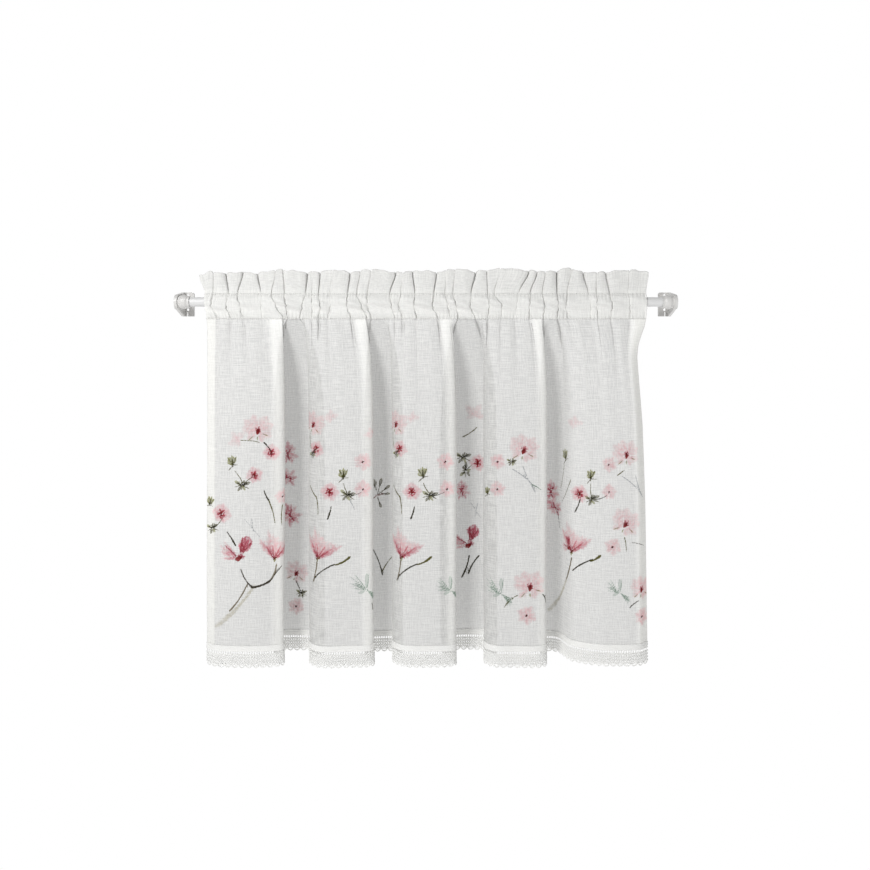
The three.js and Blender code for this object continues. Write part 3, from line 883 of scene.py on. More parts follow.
class Motif(Enum):
    """The flowers, buds and leaves of the print, each as its brush strokes."""

    BLOSSOM = (
        *strokes(
            Layer.PETALS,
            Tone.PALE_PINK,
            Tone.BLUSH,
            0.62,
            [
                (98, 0.06, 0.82, 0.26, 0.66),
                (131, 0.12, 0.80, 0.22, 0.70),
                (158, 0.06, 0.74, 0.27, 0.62),
                (207, 0.10, 0.58, 0.28, 0.60),
                (286, 0.12, 0.46, 0.30, 0.60),
                (334, 0.08, 0.66, 0.28, 0.62),
                (18, 0.12, 0.72, 0.25, 0.66),
                (50, 0.06, 0.84, 0.27, 0.68),
            ],
        ),
        *strokes(
            Layer.PETALS,
            Tone.ROSE_PINK,
            Tone.PALE_PINK,
            0.66,
            [
                (88, -0.04, 0.46, 0.20),
                (40, 0.02, 0.40, 0.18),
                (150, 0.02, 0.36, 0.20),
                (300, 0.0, 0.24, 0.26),
            ],
        ),
        *strokes(Layer.CORES, Tone.DARK_RED, Tone.RED, 1.0, [(250, -0.15, 0.30, 0.26, 0.5)]),
        *strokes(
            Layer.CORES,
            Tone.RED,
            Tone.DEEP_ROSE,
            0.8,
            [(66, 0.12, 0.17, 0.12), (112, 0.10, 0.14, 0.12), (20, 0.08, 0.12, 0.14)],
        ),
        *strokes(
            Layer.LEAVES,
            Tone.OLIVE,
            Tone.SPRING_GREEN,
            0.8,
            [(258, 0.22, 0.20, 0.16), (214, 0.30, 0.34, 0.06), (330, 0.26, 0.30, 0.07)],
        ),
    )
    ROSE = (
        *strokes(
            Layer.PETALS,
            Tone.ROSE_PINK,
            Tone.PALE_PINK,
            0.66,
            [
                (74, 0.0, 1.06, 0.34),
                (120, 0.0, 0.90, 0.34),
                (166, 0.0, 1.02, 0.32),
                (226, 0.0, 0.90, 0.34),
                (292, 0.0, 0.96, 0.34),
                (352, 0.0, 1.10, 0.30),
                (30, 0.0, 0.94, 0.32),
            ],
        ),
        *strokes(
            Layer.CORES,
            Tone.RED,
            Tone.DEEP_ROSE,
            0.9,
            [
                (188, 0.16, 0.30, 0.26),
                (332, 0.14, 0.30, 0.26),
                (48, 0.20, 0.32, 0.24),
                (108, 0.24, 0.26, 0.28),
                (262, 0.20, 0.28, 0.26),
            ],
        ),
        *strokes(Layer.CORES, Tone.DARK_RED, Tone.RED, 1.0, [(84, -0.12, 0.40, 0.22, 0.5)]),
    )
    SMALL = (
        *strokes(
            Layer.PETALS,
            Tone.PALE_PINK,
            Tone.BLUSH,
            0.75,
            [
                (58, 0.0, 1.05, 0.28, 0.66),
                (104, 0.0, 0.88, 0.28, 0.64),
                (152, 0.0, 1.00, 0.27, 0.64),
                (212, 0.0, 0.90, 0.28, 0.64),
                (276, 0.0, 0.94, 0.28, 0.64),
                (336, 0.0, 1.00, 0.28, 0.62),
                (14, 0.0, 0.88, 0.26, 0.64),
            ],
        ),
        *strokes(
            Layer.PETALS,
            Tone.ROSE_PINK,
            Tone.PALE_PINK,
            0.8,
            [(70, 0.0, 0.40, 0.26), (170, 0.0, 0.36, 0.26), (280, 0.0, 0.34, 0.28), (350, 0.0, 0.40, 0.24)],
        ),
        *strokes(Layer.CORES, Tone.DARK_RED, Tone.DARK_RED, 1.0, [(24, -0.12, 0.24, 0.42, 0.5)]),
    )
    SHADED = (
        *strokes(
            Layer.PETALS,
            Tone.DEEP_ROSE,
            Tone.ROSE_PINK,
            0.85,
            [
                (90, 0.0, 1.25, 0.15),
                (250, 0.0, 1.05, 0.16),
                (300, 0.0, 1.00, 0.15),
                (118, 0.1, 0.85, 0.13),
                (65, 0.1, 0.95, 0.13),
            ],
        ),
        *strokes(
            Layer.PETALS,
            Tone.ROSE_PINK,
            Tone.PALE_PINK,
            0.8,
            [(142, 0.0, 0.95, 0.17), (192, 0.0, 0.85, 0.20), (345, 0.0, 1.10, 0.17), (40, 0.0, 1.00, 0.17)],
        ),
        *strokes(
            Layer.CORES,
            Tone.CRIMSON,
            Tone.DEEP_ROSE,
            0.9,
            [
                (100, -0.16, 0.42, 0.20),
                (60, 0.05, 0.55, 0.05),
                (285, 0.0, 0.60, 0.05),
                (130, 0.05, 0.45, 0.06),
            ],
        ),
    )
    PALE = strokes(
        Layer.PETALS,
        Tone.PALE_PINK,
        Tone.BLUSH,
        0.45,
        [(85, -0.2, 1.00, 0.24), (160, -0.1, 0.92, 0.22), (20, -0.1, 0.86, 0.22), (230, -0.1, 0.6, 0.24)],
    )
    MAGNOLIA = (
        *strokes(
            Layer.PETALS,
            Tone.DEEP_ROSE,
            Tone.PALE_PINK,
            0.9,
            [
                (121, 0.0, 1.20, 0.10),
                (108, 0.0, 1.00, 0.10),
                (30, 0.0, 1.30, 0.10, 0.46),
                (40, 0.0, 1.10, 0.09),
            ],
        ),
        *strokes(
            Layer.PETALS,
            Tone.ROSE_PINK,
            Tone.BLUSH,
            0.75,
            [
                (97, 0.0, 1.45, 0.08),
                (88, 0.0, 1.20, 0.10),
                (76, 0.0, 1.10, 0.12),
                (62, 0.0, 0.95, 0.14),
                (128, 0.1, 0.90, 0.10),
                (50, 0.0, 1.05, 0.12),
            ],
        ),
        *strokes(Layer.PETALS, Tone.CRIMSON, Tone.DEEP_ROSE, 0.95, [(88, -0.06, 0.42, 0.22, 0.45)]),
        *strokes(
            Layer.CORES,
            Tone.CRIMSON,
            Tone.ROSE_PINK,
            0.75,
            [
                (116, 0.04, 0.72, 0.028),
                (92, 0.04, 0.62, 0.026),
                (58, 0.04, 0.66, 0.028),
                (36, 0.04, 0.80, 0.026),
            ],
        ),
        *strokes(
            Layer.LEAVES,
            Tone.OLIVE,
            Tone.SPRING_GREEN,
            0.95,
            [(276, -0.02, 0.17, 0.22), (32, -0.05, 0.24, 0.16)],
        ),
    )
    BUD = (
        *strokes(
            Layer.PETALS,
            Tone.DEEP_ROSE,
            Tone.PALE_PINK,
            0.9,
            [(134, 0.0, 1.45, 0.05), (149, 0.0, 1.50, 0.07), (164, 0.0, 1.35, 0.07), (183, 0.0, 1.20, 0.07)],
        ),
        *strokes(Layer.PETALS, Tone.ROSE_PINK, Tone.DEEP_ROSE, 1.1, [(66, 0.30, 1.22, 0.34, 0.56)]),
        *strokes(
            Layer.PETALS,
            Tone.CRIMSON,
            Tone.DEEP_ROSE,
            0.95,
            [(66, 0.0, 0.52, 0.20), (16, 0.0, 0.40, 0.30)],
        ),
        *strokes(
            Layer.CORES,
            Tone.RED,
            Tone.RED,
            0.95,
            [(204, -0.20, 0.50, 0.26, 0.5), (252, 0.0, 0.22, 0.3)],
        ),
        *strokes(
            Layer.CORES,
            Tone.CRIMSON,
            Tone.DEEP_ROSE,
            0.8,
            [
                (80, 0.36, 1.00, 0.035),
                (52, 0.38, 0.98, 0.035),
                (66, 0.40, 0.80, 0.03),
                (140, 0.1, 1.10, 0.02),
            ],
        ),
    )
    SPRIG = (
        *strokes(
            Layer.LEAVES,
            Tone.OLIVE,
            Tone.SPRING_GREEN,
            0.95,
            [(90, 0.0, 0.96, 0.12), (63, 0.0, 0.90, 0.11), (119, 0.0, 0.92, 0.11), (150, 0.0, 0.62, 0.10)],
        ),
        *strokes(
            Layer.TWIGS,
            Tone.DARK_OLIVE,
            Tone.OLIVE,
            0.95,
            [(222, 0.0, 0.70, 0.07), (64, 0.1, 0.85, 0.04), (118, 0.1, 0.85, 0.04), (4, -0.05, 0.60, 0.06)],
        ),
        *strokes(
            Layer.CORES,
            Tone.DARK_OLIVE,
            Tone.OLIVE,
            0.9,
            [(91, 0.0, 0.70, 0.05), (250, -0.1, 0.28, 0.2)],
        ),
    )
    LEAVES = (
        *strokes(
            Layer.LEAVES,
            Tone.DARK_OLIVE,
            Tone.OLIVE,
            0.95,
            [(18, 0.05, 0.80, 0.17), (236, 0.05, 0.62, 0.17), (62, 0.10, 0.44, 0.18)],
        ),
        *strokes(
            Layer.LEAVES,
            Tone.OLIVE,
            Tone.SPRING_GREEN,
            0.9,
            [(150, 0.05, 0.74, 0.19), (304, 0.05, 0.52, 0.18)],
        ),
        *strokes(
            Layer.TWIGS, Tone.DARK_OLIVE, Tone.OLIVE, 0.9, [(335, 0.0, 0.85, 0.05), (196, 0.0, 0.75, 0.05)]
        ),
        *strokes(
            Layer.CORES,
            Tone.DARK_OLIVE,
            Tone.DARK_OLIVE,
            0.9,
            [(20, 0.0, 0.60, 0.05), (152, 0.05, 0.50, 0.06)],
        ),
    )
    FAN = (
        *strokes(
            Layer.LEAVES,
            Tone.GREY_GREEN,
            Tone.GREY_GREEN,
            0.6,
            [(92, 0.12, 0.84, 0.13), (150, 0.05, 0.80, 0.10), (320, 0.0, 0.80, 0.14), (196, 0.1, 0.46, 0.16)],
        ),
        *strokes(
            Layer.TWIGS,
            Tone.DEEP_GREEN,
            Tone.GREY_GREEN,
            0.8,
            [
                (84, 0.05, 0.95, 0.022),
                (128, 0.0, 1.20, 0.018),
                (141, 0.0, 1.30, 0.016),
                (157, 0.0, 1.10, 0.020),
                (172, 0.0, 0.90, 0.022),
                (318, -0.1, 1.05, 0.028),
                (305, 0.1, 0.80, 0.024),
                (336, 0.1, 0.70, 0.024),
            ],
        ),
    )
    DARK_FAN = (
        *strokes(
            Layer.LEAVES,
            Tone.DARK_OLIVE,
            Tone.OLIVE,
            0.95,
            [
                (76, 0.55, 0.55, 0.17),
                (104, 0.50, 0.60, 0.16),
                (38, 0.50, 0.50, 0.16),
                (286, 0.40, 0.42, 0.18),
                (8, 0.40, 0.40, 0.18),
                (128, 0.40, 0.50, 0.15),
            ],
        ),
        *strokes(
            Layer.TWIGS,
            Tone.DARK_OLIVE,
            Tone.OLIVE,
            1.0,
            [(76, 0.0, 0.80, 0.03), (104, 0.0, 0.80, 0.03), (38, 0.0, 0.75, 0.035), (284, 0.0, 0.60, 0.05)],
        ),
        *strokes(
            Layer.TWIGS,
            Tone.RED,
            Tone.DARK_OLIVE,
            0.9,
            [(10, -0.1, 0.70, 0.04), (215, 0.0, 0.50, 0.06)],
        ),
    )


# Motifs on the flat cloth: kind, place along the cloth, height, size and turn in degrees. Places were
# worked out from pixels read from the photo, and rounded.
PLACED = [
    (Motif.BLOSSOM, 62, -146, 23, 8),
    (Motif.PALE, 40, -156, 16, 40),
    (Motif.ROSE, 77, -170, 10, 10),
    (Motif.SPRIG, 34, -184, 12, 6),
    (Motif.ROSE, 58, -195, 10, 30),
    (Motif.LEAVES, 44, -206, 12, 0),
    (Motif.SMALL, 90, -220, 10, 20),
    (Motif.SPRIG, 4, -230, 11, -20),
    (Motif.ROSE, 20, -239, 12, 0),
    (Motif.LEAVES, 8, -256, 11, 15),
    (Motif.BUD, 41, -288, 18, 0),
    (Motif.MAGNOLIA, 80, -290, 24, 4),
    (Motif.SHADED, 152, -180, 13, 0),
    (Motif.SHADED, 152, -208, 12, 60),
    (Motif.SHADED, 155, -253, 14, 20),
    (Motif.BLOSSOM, 162, -322, 19, -10),
    (Motif.LEAVES, 168, -344, 9, 0),
    (Motif.SMALL, 162, -360, 11, 0),
    (Motif.BLOSSOM, 243, -140, 20, -12),
    (Motif.PALE, 266, -131, 13, 10),
    (Motif.ROSE, 248, -166, 10, -15),
    (Motif.LEAVES, 243, -172, 8, 40),
    (Motif.ROSE, 264, -214, 11, 5),
    (Motif.SPRIG, 280, -198, 12, 0),
    (Motif.LEAVES, 284, -217, 12, -8),
    (Motif.SMALL, 302, -180, 11, 0),
    (Motif.SMALL, 302, -211, 11, 30),
    (Motif.PALE, 312, -150, 12, 20),
    (Motif.MAGNOLIA, 250, -289, 25, -2),
    (Motif.FAN, 307, -325, 20, 0),
    (Motif.DARK_FAN, 370, -228, 19, 0),
    (Motif.BLOSSOM, 440, -140, 20, -8),
    (Motif.PALE, 462, -132, 12, 0),
    (Motif.ROSE, 446, -166, 10, -5),
    (Motif.LEAVES, 441, -172, 8, 30),
    (Motif.ROSE, 461, -214, 11, 15),
    (Motif.SPRIG, 474, -197, 12, 5),
    (Motif.LEAVES, 481, -218, 12, 0),
    (Motif.SMALL, 499, -180, 11, 10),
    (Motif.SMALL, 501, -211, 11, 50),
    (Motif.MAGNOLIA, 448, -289, 25, 0),
    (Motif.FAN, 506, -326, 18, 4),
    (Motif.PALE, 598, -134, 20, -30),
    (Motif.LEAVES, 584, -184, 13, 0),
    (Motif.ROSE, 602, -191, 11, 0),
    (Motif.LEAVES, 588, -200, 12, 70),
    (Motif.SHADED, 583, -224, 11, 0),
    (Motif.BUD, 592, -288, 17, 8),
    (Motif.SMALL, 682, -180, 10, 0),
    (Motif.SMALL, 682, -211, 10, 40),
    (Motif.SPRIG, 669, -218, 9, 0),
    (Motif.BLOSSOM, 712, -168, 23, 0),
    (Motif.LEAVES, 698, -180, 8, 0),
    (Motif.FAN, 687, -329, 19, 0),
    (Motif.BLOSSOM, 719, -322, 24, 12),
    (Motif.SMALL, 715, -353, 12, 0),
    (Motif.PALE, 836, -140, 14, 0),
    (Motif.SPRIG, 821, -182, 13, 10),
    (Motif.SHADED, 795, -224, 12, 0),
    (Motif.SHADED, 800, -242, 11, 50),
    (Motif.MAGNOLIA, 831, -287, 25, 6),
    (Motif.BUD, 827, -283, 10, 30),
    (Motif.ROSE, 841, -219, 11, 0),
    (Motif.SPRIG, 856, -201, 12, 0),
    (Motif.LEAVES, 856, -224, 12, 10),
    (Motif.SMALL, 876, -184, 10, 0),
    (Motif.SMALL, 876, -215, 10, 30),
    (Motif.BLOSSOM, 897, -174, 22, 10),
    (Motif.BLOSSOM, 895, -252, 23, -14),
    (Motif.SMALL, 880, -277, 11, 0),
    (Motif.FAN, 889, -329, 17, 0),
    (Motif.BLOSSOM, 915, -327, 20, 0),
    (Motif.SMALL, 915, -357, 11, 0),
]

# Twigs on the flat cloth: start and end, sideways bend, width at the start and at the end, and tone.
# Most ends were worked out in the same way.
TWIGS = [
    (42, -156, 64, -158, 1.0, 0.7, 1.0, Tone.OLIVE),
    (69, -158, 77, -168, 0.5, 1.6, 1.0, Tone.DARK_OLIVE),
    (69, -212, 74, -223, -0.5, 1.2, 2.0, Tone.DARK_OLIVE),
    (74, -223, 81, -249, 1.0, 1.6, 0.8, Tone.OLIVE),
    (27, -259, 37, -274, 0.5, 1.2, 2.2, Tone.DARK_OLIVE),
    (43, -300, 56, -321, -2.0, 1.2, 1.8, Tone.TWIG),
    (83, -296, 76, -314, 1.0, 1.6, 2.0, Tone.BARK),
    (90, -298, 77, -313, -1.0, 1.0, 1.8, Tone.DARK_OLIVE),
    (76, -314, 55, -321, 1.5, 2.4, 2.6, Tone.TWIG),
    (58, -319, 14, -366, 3.0, 2.6, 5.6, Tone.PALE_BARK),
    (50, -318, 30, -348, 1.5, 1.4, 2.0, Tone.BARK),
    (90, -229, 89, -252, -1.0, 1.4, 0.8, Tone.OLIVE),
    (47, -244, 64, -264, 0.0, 0.6, 0.5, Tone.GREY_TWIG),
    (36, -190, 46, -206, 1.0, 0.8, 1.0, Tone.OLIVE),
    (56, -197, 46, -206, -1.0, 0.8, 1.0, Tone.OLIVE),
    (22, -243, 10, -256, 1.0, 0.8, 1.0, Tone.OLIVE),
    (55, -243, 57, -258, 0.0, 0.6, 0.5, Tone.GREY_TWIG),
    (162, -330, 170, -350, 0.5, 1.2, 0.8, Tone.DARK_OLIVE),
    (238, -208, 249, -220, -0.8, 0.8, 1.8, Tone.OLIVE),
    (249, -220, 251, -240, 0.8, 1.4, 0.7, Tone.OLIVE),
    (266, -230, 262, -244, 0.5, 1.2, 2.2, Tone.DARK_OLIVE),
    (287, -223, 293, -234, 0.5, 0.9, 0.6, Tone.GREY_TWIG),
    (238, -148, 240, -166, -1.2, 0.8, 1.0, Tone.OLIVE),
    (280, -204, 286, -217, -0.8, 0.8, 1.2, Tone.OLIVE),
    (300, -214, 288, -218, 0.8, 0.6, 1.0, Tone.DARK_OLIVE),
    (250, -292, 244, -316, 1.0, 1.8, 1.4, Tone.BARK),
    (245, -314, 270, -295, 2.5, 1.3, 1.7, Tone.DARK_OLIVE),
    (269, -296, 287, -287, -1.5, 1.4, 3.0, Tone.OLIVE),
    (313, -340, 315, -348, 0.5, 0.8, 1.6, Tone.DARK_OLIVE),
    (364, -290, 376, -322, 1.5, 1.0, 1.6, Tone.DARK_OLIVE),
    (376, -318, 388, -300, 1.0, 1.4, 0.8, Tone.OLIVE),
    (436, -208, 447, -220, -0.8, 0.8, 1.8, Tone.OLIVE),
    (447, -220, 449, -240, 0.8, 1.4, 0.7, Tone.OLIVE),
    (464, -230, 460, -244, 0.5, 1.2, 2.2, Tone.DARK_OLIVE),
    (435, -148, 437, -166, -1.2, 0.8, 1.0, Tone.OLIVE),
    (474, -204, 482, -217, -0.8, 0.8, 1.2, Tone.OLIVE),
    (498, -214, 484, -218, 0.8, 0.6, 1.0, Tone.DARK_OLIVE),
    (448, -292, 442, -316, 1.0, 1.8, 1.4, Tone.BARK),
    (442, -315, 467, -295, 2.5, 1.3, 1.7, Tone.DARK_OLIVE),
    (466, -296, 483, -287, -1.5, 1.4, 3.0, Tone.OLIVE),
    (602, -148, 584, -160, 1.0, 0.9, 1.6, Tone.OLIVE),
    (594, -238, 606, -256, 0.0, 0.7, 0.5, Tone.GREY_TWIG),
    (602, -238, 599, -254, 0.0, 0.7, 0.5, Tone.GREY_TWIG),
    (592, -300, 583, -326, 1.5, 1.6, 2.2, Tone.DARK_OLIVE),
    (604, -300, 591, -322, -1.5, 1.6, 2.0, Tone.DARK_OLIVE),
    (699, -188, 721, -205, 1.5, 0.9, 1.0, Tone.GREY_TWIG),
    (711, -184, 725, -214, -1.0, 0.7, 0.9, Tone.GREY_TWIG),
    (721, -205, 732, -212, 0.5, 1.0, 0.6, Tone.DEEP_GREEN),
    (706, -330, 690, -344, -2.0, 0.9, 1.3, Tone.OLIVE),
    (734, -330, 740, -340, 1.0, 1.3, 1.8, Tone.DARK_OLIVE),
    (737, -335, 743, -330, 1.0, 0.8, 0.7, Tone.TWIG),
    (831, -204, 813, -232, 1.0, 1.0, 0.7, Tone.OLIVE),
    (817, -190, 809, -218, 0.5, 0.9, 0.7, Tone.OLIVE),
    (803, -245, 807, -265, 0.5, 1.0, 0.6, Tone.DARK_OLIVE),
    (833, -308, 857, -292, 2.0, 1.4, 1.8, Tone.DARK_OLIVE),
    (855, -294, 866, -287, -1.0, 1.6, 3.0, Tone.OLIVE),
    (832, -293, 823, -320, 1.0, 1.8, 2.2, Tone.BARK),
    (823, -320, 793, -363, 2.0, 2.4, 4.6, Tone.PALE_BARK),
    (842, -224, 836, -240, 0.8, 1.2, 1.6, Tone.DARK_OLIVE),
    (856, -206, 857, -222, -0.8, 0.8, 1.2, Tone.OLIVE),
    (874, -218, 860, -224, 0.8, 0.6, 1.0, Tone.DARK_OLIVE),
    (894, -190, 886, -196, 0.0, 1.0, 1.4, Tone.OLIVE),
    (891, -197, 917, -219, 2.0, 0.9, 0.8, Tone.GREY_TWIG),
    (909, -196, 919, -221, -1.5, 0.8, 1.1, Tone.GREY_TWIG),
    (894, -266, 896, -282, 0.5, 1.2, 0.8, Tone.OLIVE),
    (902, -272, 920, -277, 1.0, 0.7, 0.6, Tone.TWIG),
    (911, -338, 899, -346, -0.8, 1.0, 1.2, Tone.DARK_OLIVE),
]


@dataclass
class Print:
    """The watercolour print: for each layer, where each point lies in the nearest stroke, and its dye.

    A shape is three numbers: the side of the stroke's middle line, the stroke's half width there, and
    how deep the point lies in the stroke, all in millimetres.
    """

    flats: np.ndarray
    heights: np.ndarray
    shape: dict = field(default_factory=dict)
    dye: dict = field(default_factory=dict)

    def __post_init__(self) -> None:
        """Starts with bare layers."""
        size = self.flats.shape
        for layer in Layer:
            self.shape[layer] = np.broadcast_to([0.0, BARE, BARE], size + (3,)).copy()
            self.dye[layer] = np.broadcast_to([1.0, 1.0, 1.0, 0.0], size + (4,)).copy()

    def lay(
        self,
        layer: Layer,
        root: tuple[float, float],
        tip: tuple[float, float],
        half_width: Any,
        bend: float,
        tones: tuple[Tone, Tone],
        cover: float,
    ) -> None:
        """Lays one stroke: its half width is a function of the share from root to tip.

        A point keeps the stroke it lies deepest in.

        Args:
            layer: the layer of the print.
            root: place of the stroke's root on the flat cloth.
            tip: place of its tip.
            half_width: function that gives the half width, in millimetres, at a share of the length.
            bend: how far the stroke's middle is bent sideways.
            tones: dye at the root and at the tip.
            cover: strength of the dye.
        """
        length = math.hypot(tip[0] - root[0], tip[1] - root[1])
        reach = length - BARE
        columns = np.flatnonzero(np.abs(self.flats[0] - root[0]) < reach)
        rows = np.flatnonzero(np.abs(self.heights[:, 0] - root[1]) < reach)
        if len(columns) == 0 or len(rows) == 0:
            return
        patch = np.ix_(rows, columns)
        along_x, along_z = (tip[0] - root[0]) / length, (tip[1] - root[1]) / length
        dx, dz = self.flats[patch] - root[0], self.heights[patch] - root[1]
        share = (dx * along_x + dz * along_z) / length
        inside = np.clip(share, 0.0, 1.0)
        side = dz * along_x - dx * along_z - bend * 4.0 * inside * (1.0 - inside)
        wobble = 1.0 + 0.10 * np.sin(9.0 * share + root[0]) + 0.06 * np.sin(21.0 * share + side)
        beyond = np.abs(share - inside) * length
        width = half_width(inside) * wobble - beyond
        depth = np.maximum(width - np.abs(side), BARE)
        root_dye, tip_dye = (np.array(tone.value) for tone in tones)
        dye = lerp(root_dye, tip_dye, (inside**0.8)[..., None])
        strength = cover * lerp(1.0, TIP_STRENGTH[layer], inside)
        deeper = (depth > self.shape[layer][patch][..., 2])[..., None]
        shape = np.stack([side, width, depth], axis=-1)
        laid = np.concatenate([dye, strength[..., None]], axis=-1)
        self.shape[layer][patch] = np.where(deeper, shape, self.shape[layer][patch])
        self.dye[layer][patch] = np.where(deeper, laid, self.dye[layer][patch])

    def lay_motif(self, motif: Motif, flat: float, height: float, size: float, turn: float) -> None:
        """Lays the strokes of one motif.

        Args:
            motif: the motif.
            flat: its place along the flat cloth.
            height: its height.
            size: its size in millimetres.
            turn: its turn in degrees.
        """
        for stroke in motif.value:
            angle = math.radians(stroke.angle + turn)
            way = np.array([math.cos(angle), math.sin(angle)])
            middle = np.array([flat, height], dtype=float)
            root = middle + way * stroke.start * size
            tip = root + way * stroke.length * size
            power = math.log(0.5) / math.log(stroke.fullest)
            broad = stroke.width * stroke.length * size

            def half_width(share: np.ndarray, power: float = power, broad: float = broad) -> np.ndarray:
                """Half width of a petal: pointed at both ends, fullest where the stroke says.

                Args:
                    share: share of the length from the root.
                    power: moves the fullest place.
                    broad: the half width there.

                Returns:
                    The half widths.
                """
                return broad * np.sin(np.pi * share**power) ** 0.75

            ends = (tuple(root), tuple(tip))
            self.lay(stroke.layer, *ends, half_width, 0.0, (stroke.root, stroke.tip), stroke.cover)

    def paint(self) -> None:
        """Lays all motifs and twigs."""
        for flat, height, end_flat, end_height, bend, start_width, end_width, tone in TWIGS:

            def half_width(share: np.ndarray, a: float = start_width, b: float = end_width) -> np.ndarray:
                """Half width of a twig, which tapers evenly.

                Args:
                    share: share of the length from the start.
                    a: width at the start.
                    b: width at the end.

                Returns:
                    The half widths.
                """
                return 0.5 * lerp(a, b, share)

            ends = ((flat, height), (end_flat, end_height))
            layer = Layer.PETALS if tone is Tone.PALE_BARK else Layer.TWIGS
            self.lay(layer, *ends, half_width, bend, (tone, tone), 1.0)
        for placed in PLACED:
            self.lay_motif(*placed)
        log.info("print: %d motifs, %d twigs", len(PLACED), len(TWIGS))


@dataclass
class Body:
    """One stretch of the hanging cloth between two heights, with its turned side hems."""

    name: str
    top: float
    bottom: float
    columns: int
    rows: int
    crowding: float = 1.0
    hem_rows: int = 0
    printed: bool = False
    hem_columns: int = 5

    def grid(self, hung: HungCloth) -> tuple[np.ndarray, np.ndarray, np.ndarray]:
        """Flat positions and heights of the grid, and how many layers behind the face each point lies.

        Args:
            hung: the shape the cloth hangs in.

        Returns:
            Flat positions, heights, and the share of a ply that each point lies behind the face.
        """
        edges = [EDGE_COLUMN, hung.width - EDGE_COLUMN]
        across = np.sort(np.append(np.linspace(0.0, hung.width, self.columns), edges))
        turn = np.linspace(SIDE_HEM, 0.0, self.hem_columns, endpoint=False)
        flat = np.concatenate([turn, across, hung.width - turn[::-1]])
        behind_side = np.concatenate([np.ones(len(turn)), np.zeros(len(across)), np.ones(len(turn))])
        face = lerp(self.top, self.bottom, np.linspace(0.0, 1.0, self.rows) ** self.crowding)
        rise = self.bottom + BOTTOM_HEM * np.arange(1, self.hem_rows + 1) / max(self.hem_rows, 1)
        z = np.concatenate([face, rise])
        behind_hem = np.concatenate([np.zeros(len(face)), np.ones(len(rise))])
        flats, heights = np.meshgrid(flat, z)
        behind = behind_side[None, :] + HEM_PLIES_BEHIND * behind_hem[:, None]
        return flats, heights, behind

    @staticmethod
    def layers(hung: HungCloth, flats: np.ndarray) -> np.ndarray:
        """How many layers of cloth are seen at each place.

        The cloth runs back under each panel behind its right edge, a little of it behind the left one,
        and both sides of the curtain have a turned hem. The shader paints the cloth lighter where the
        count is higher: painted light for the overlap.

        Args:
            hung: the shape the cloth hangs in.
            flats: flat positions.

        Returns:
            The layers, 1 where the cloth is single.
        """
        share = hung.panel_share(flats)
        right = RIGHT_LAYERS * smooth_step(*RIGHT_BAND, share) * (share <= 1.0)
        left = LEFT_LAYERS * smooth_step(*LEFT_BAND, share)
        from_side = np.minimum(flats, hung.width - flats)
        side = SIDE_LAYERS * smooth_step(SIDE_HEM + HEM_SOFTNESS, SIDE_HEM - HEM_SOFTNESS, from_side)
        return 1.0 + np.maximum(np.maximum(right, left), side)

    def build(self, hung: HungCloth) -> bpy.types.Object:
        """Makes the stretch of cloth.

        Args:
            hung: the shape the cloth hangs in.

        Returns:
            The object.
        """
        flats, heights, behind = self.grid(hung)
        points = hung.middle(flats, heights) - PLY_GAP * behind[..., None] * hung.front_normal(flats, heights)
        # Layer count that the shader turns into painted light on overlapping cloth.
        floats = {"plies_painted_light": self.layers(hung, flats)}
        vectors, colors = {}, {}
        if self.printed:
            painted = Print(flats, heights)
            painted.paint()
            for layer in Layer:
                vectors[layer.value + "_shape"] = painted.shape[layer]
                colors[layer.value + "_dye"] = painted.dye[layer]
        uv = np.stack([flats, heights], axis=-1)
        grid = Grid(points, uv, floats=floats, vectors=vectors, colors=colors)
        return grid_object(self.name, [grid], facing_front=False)


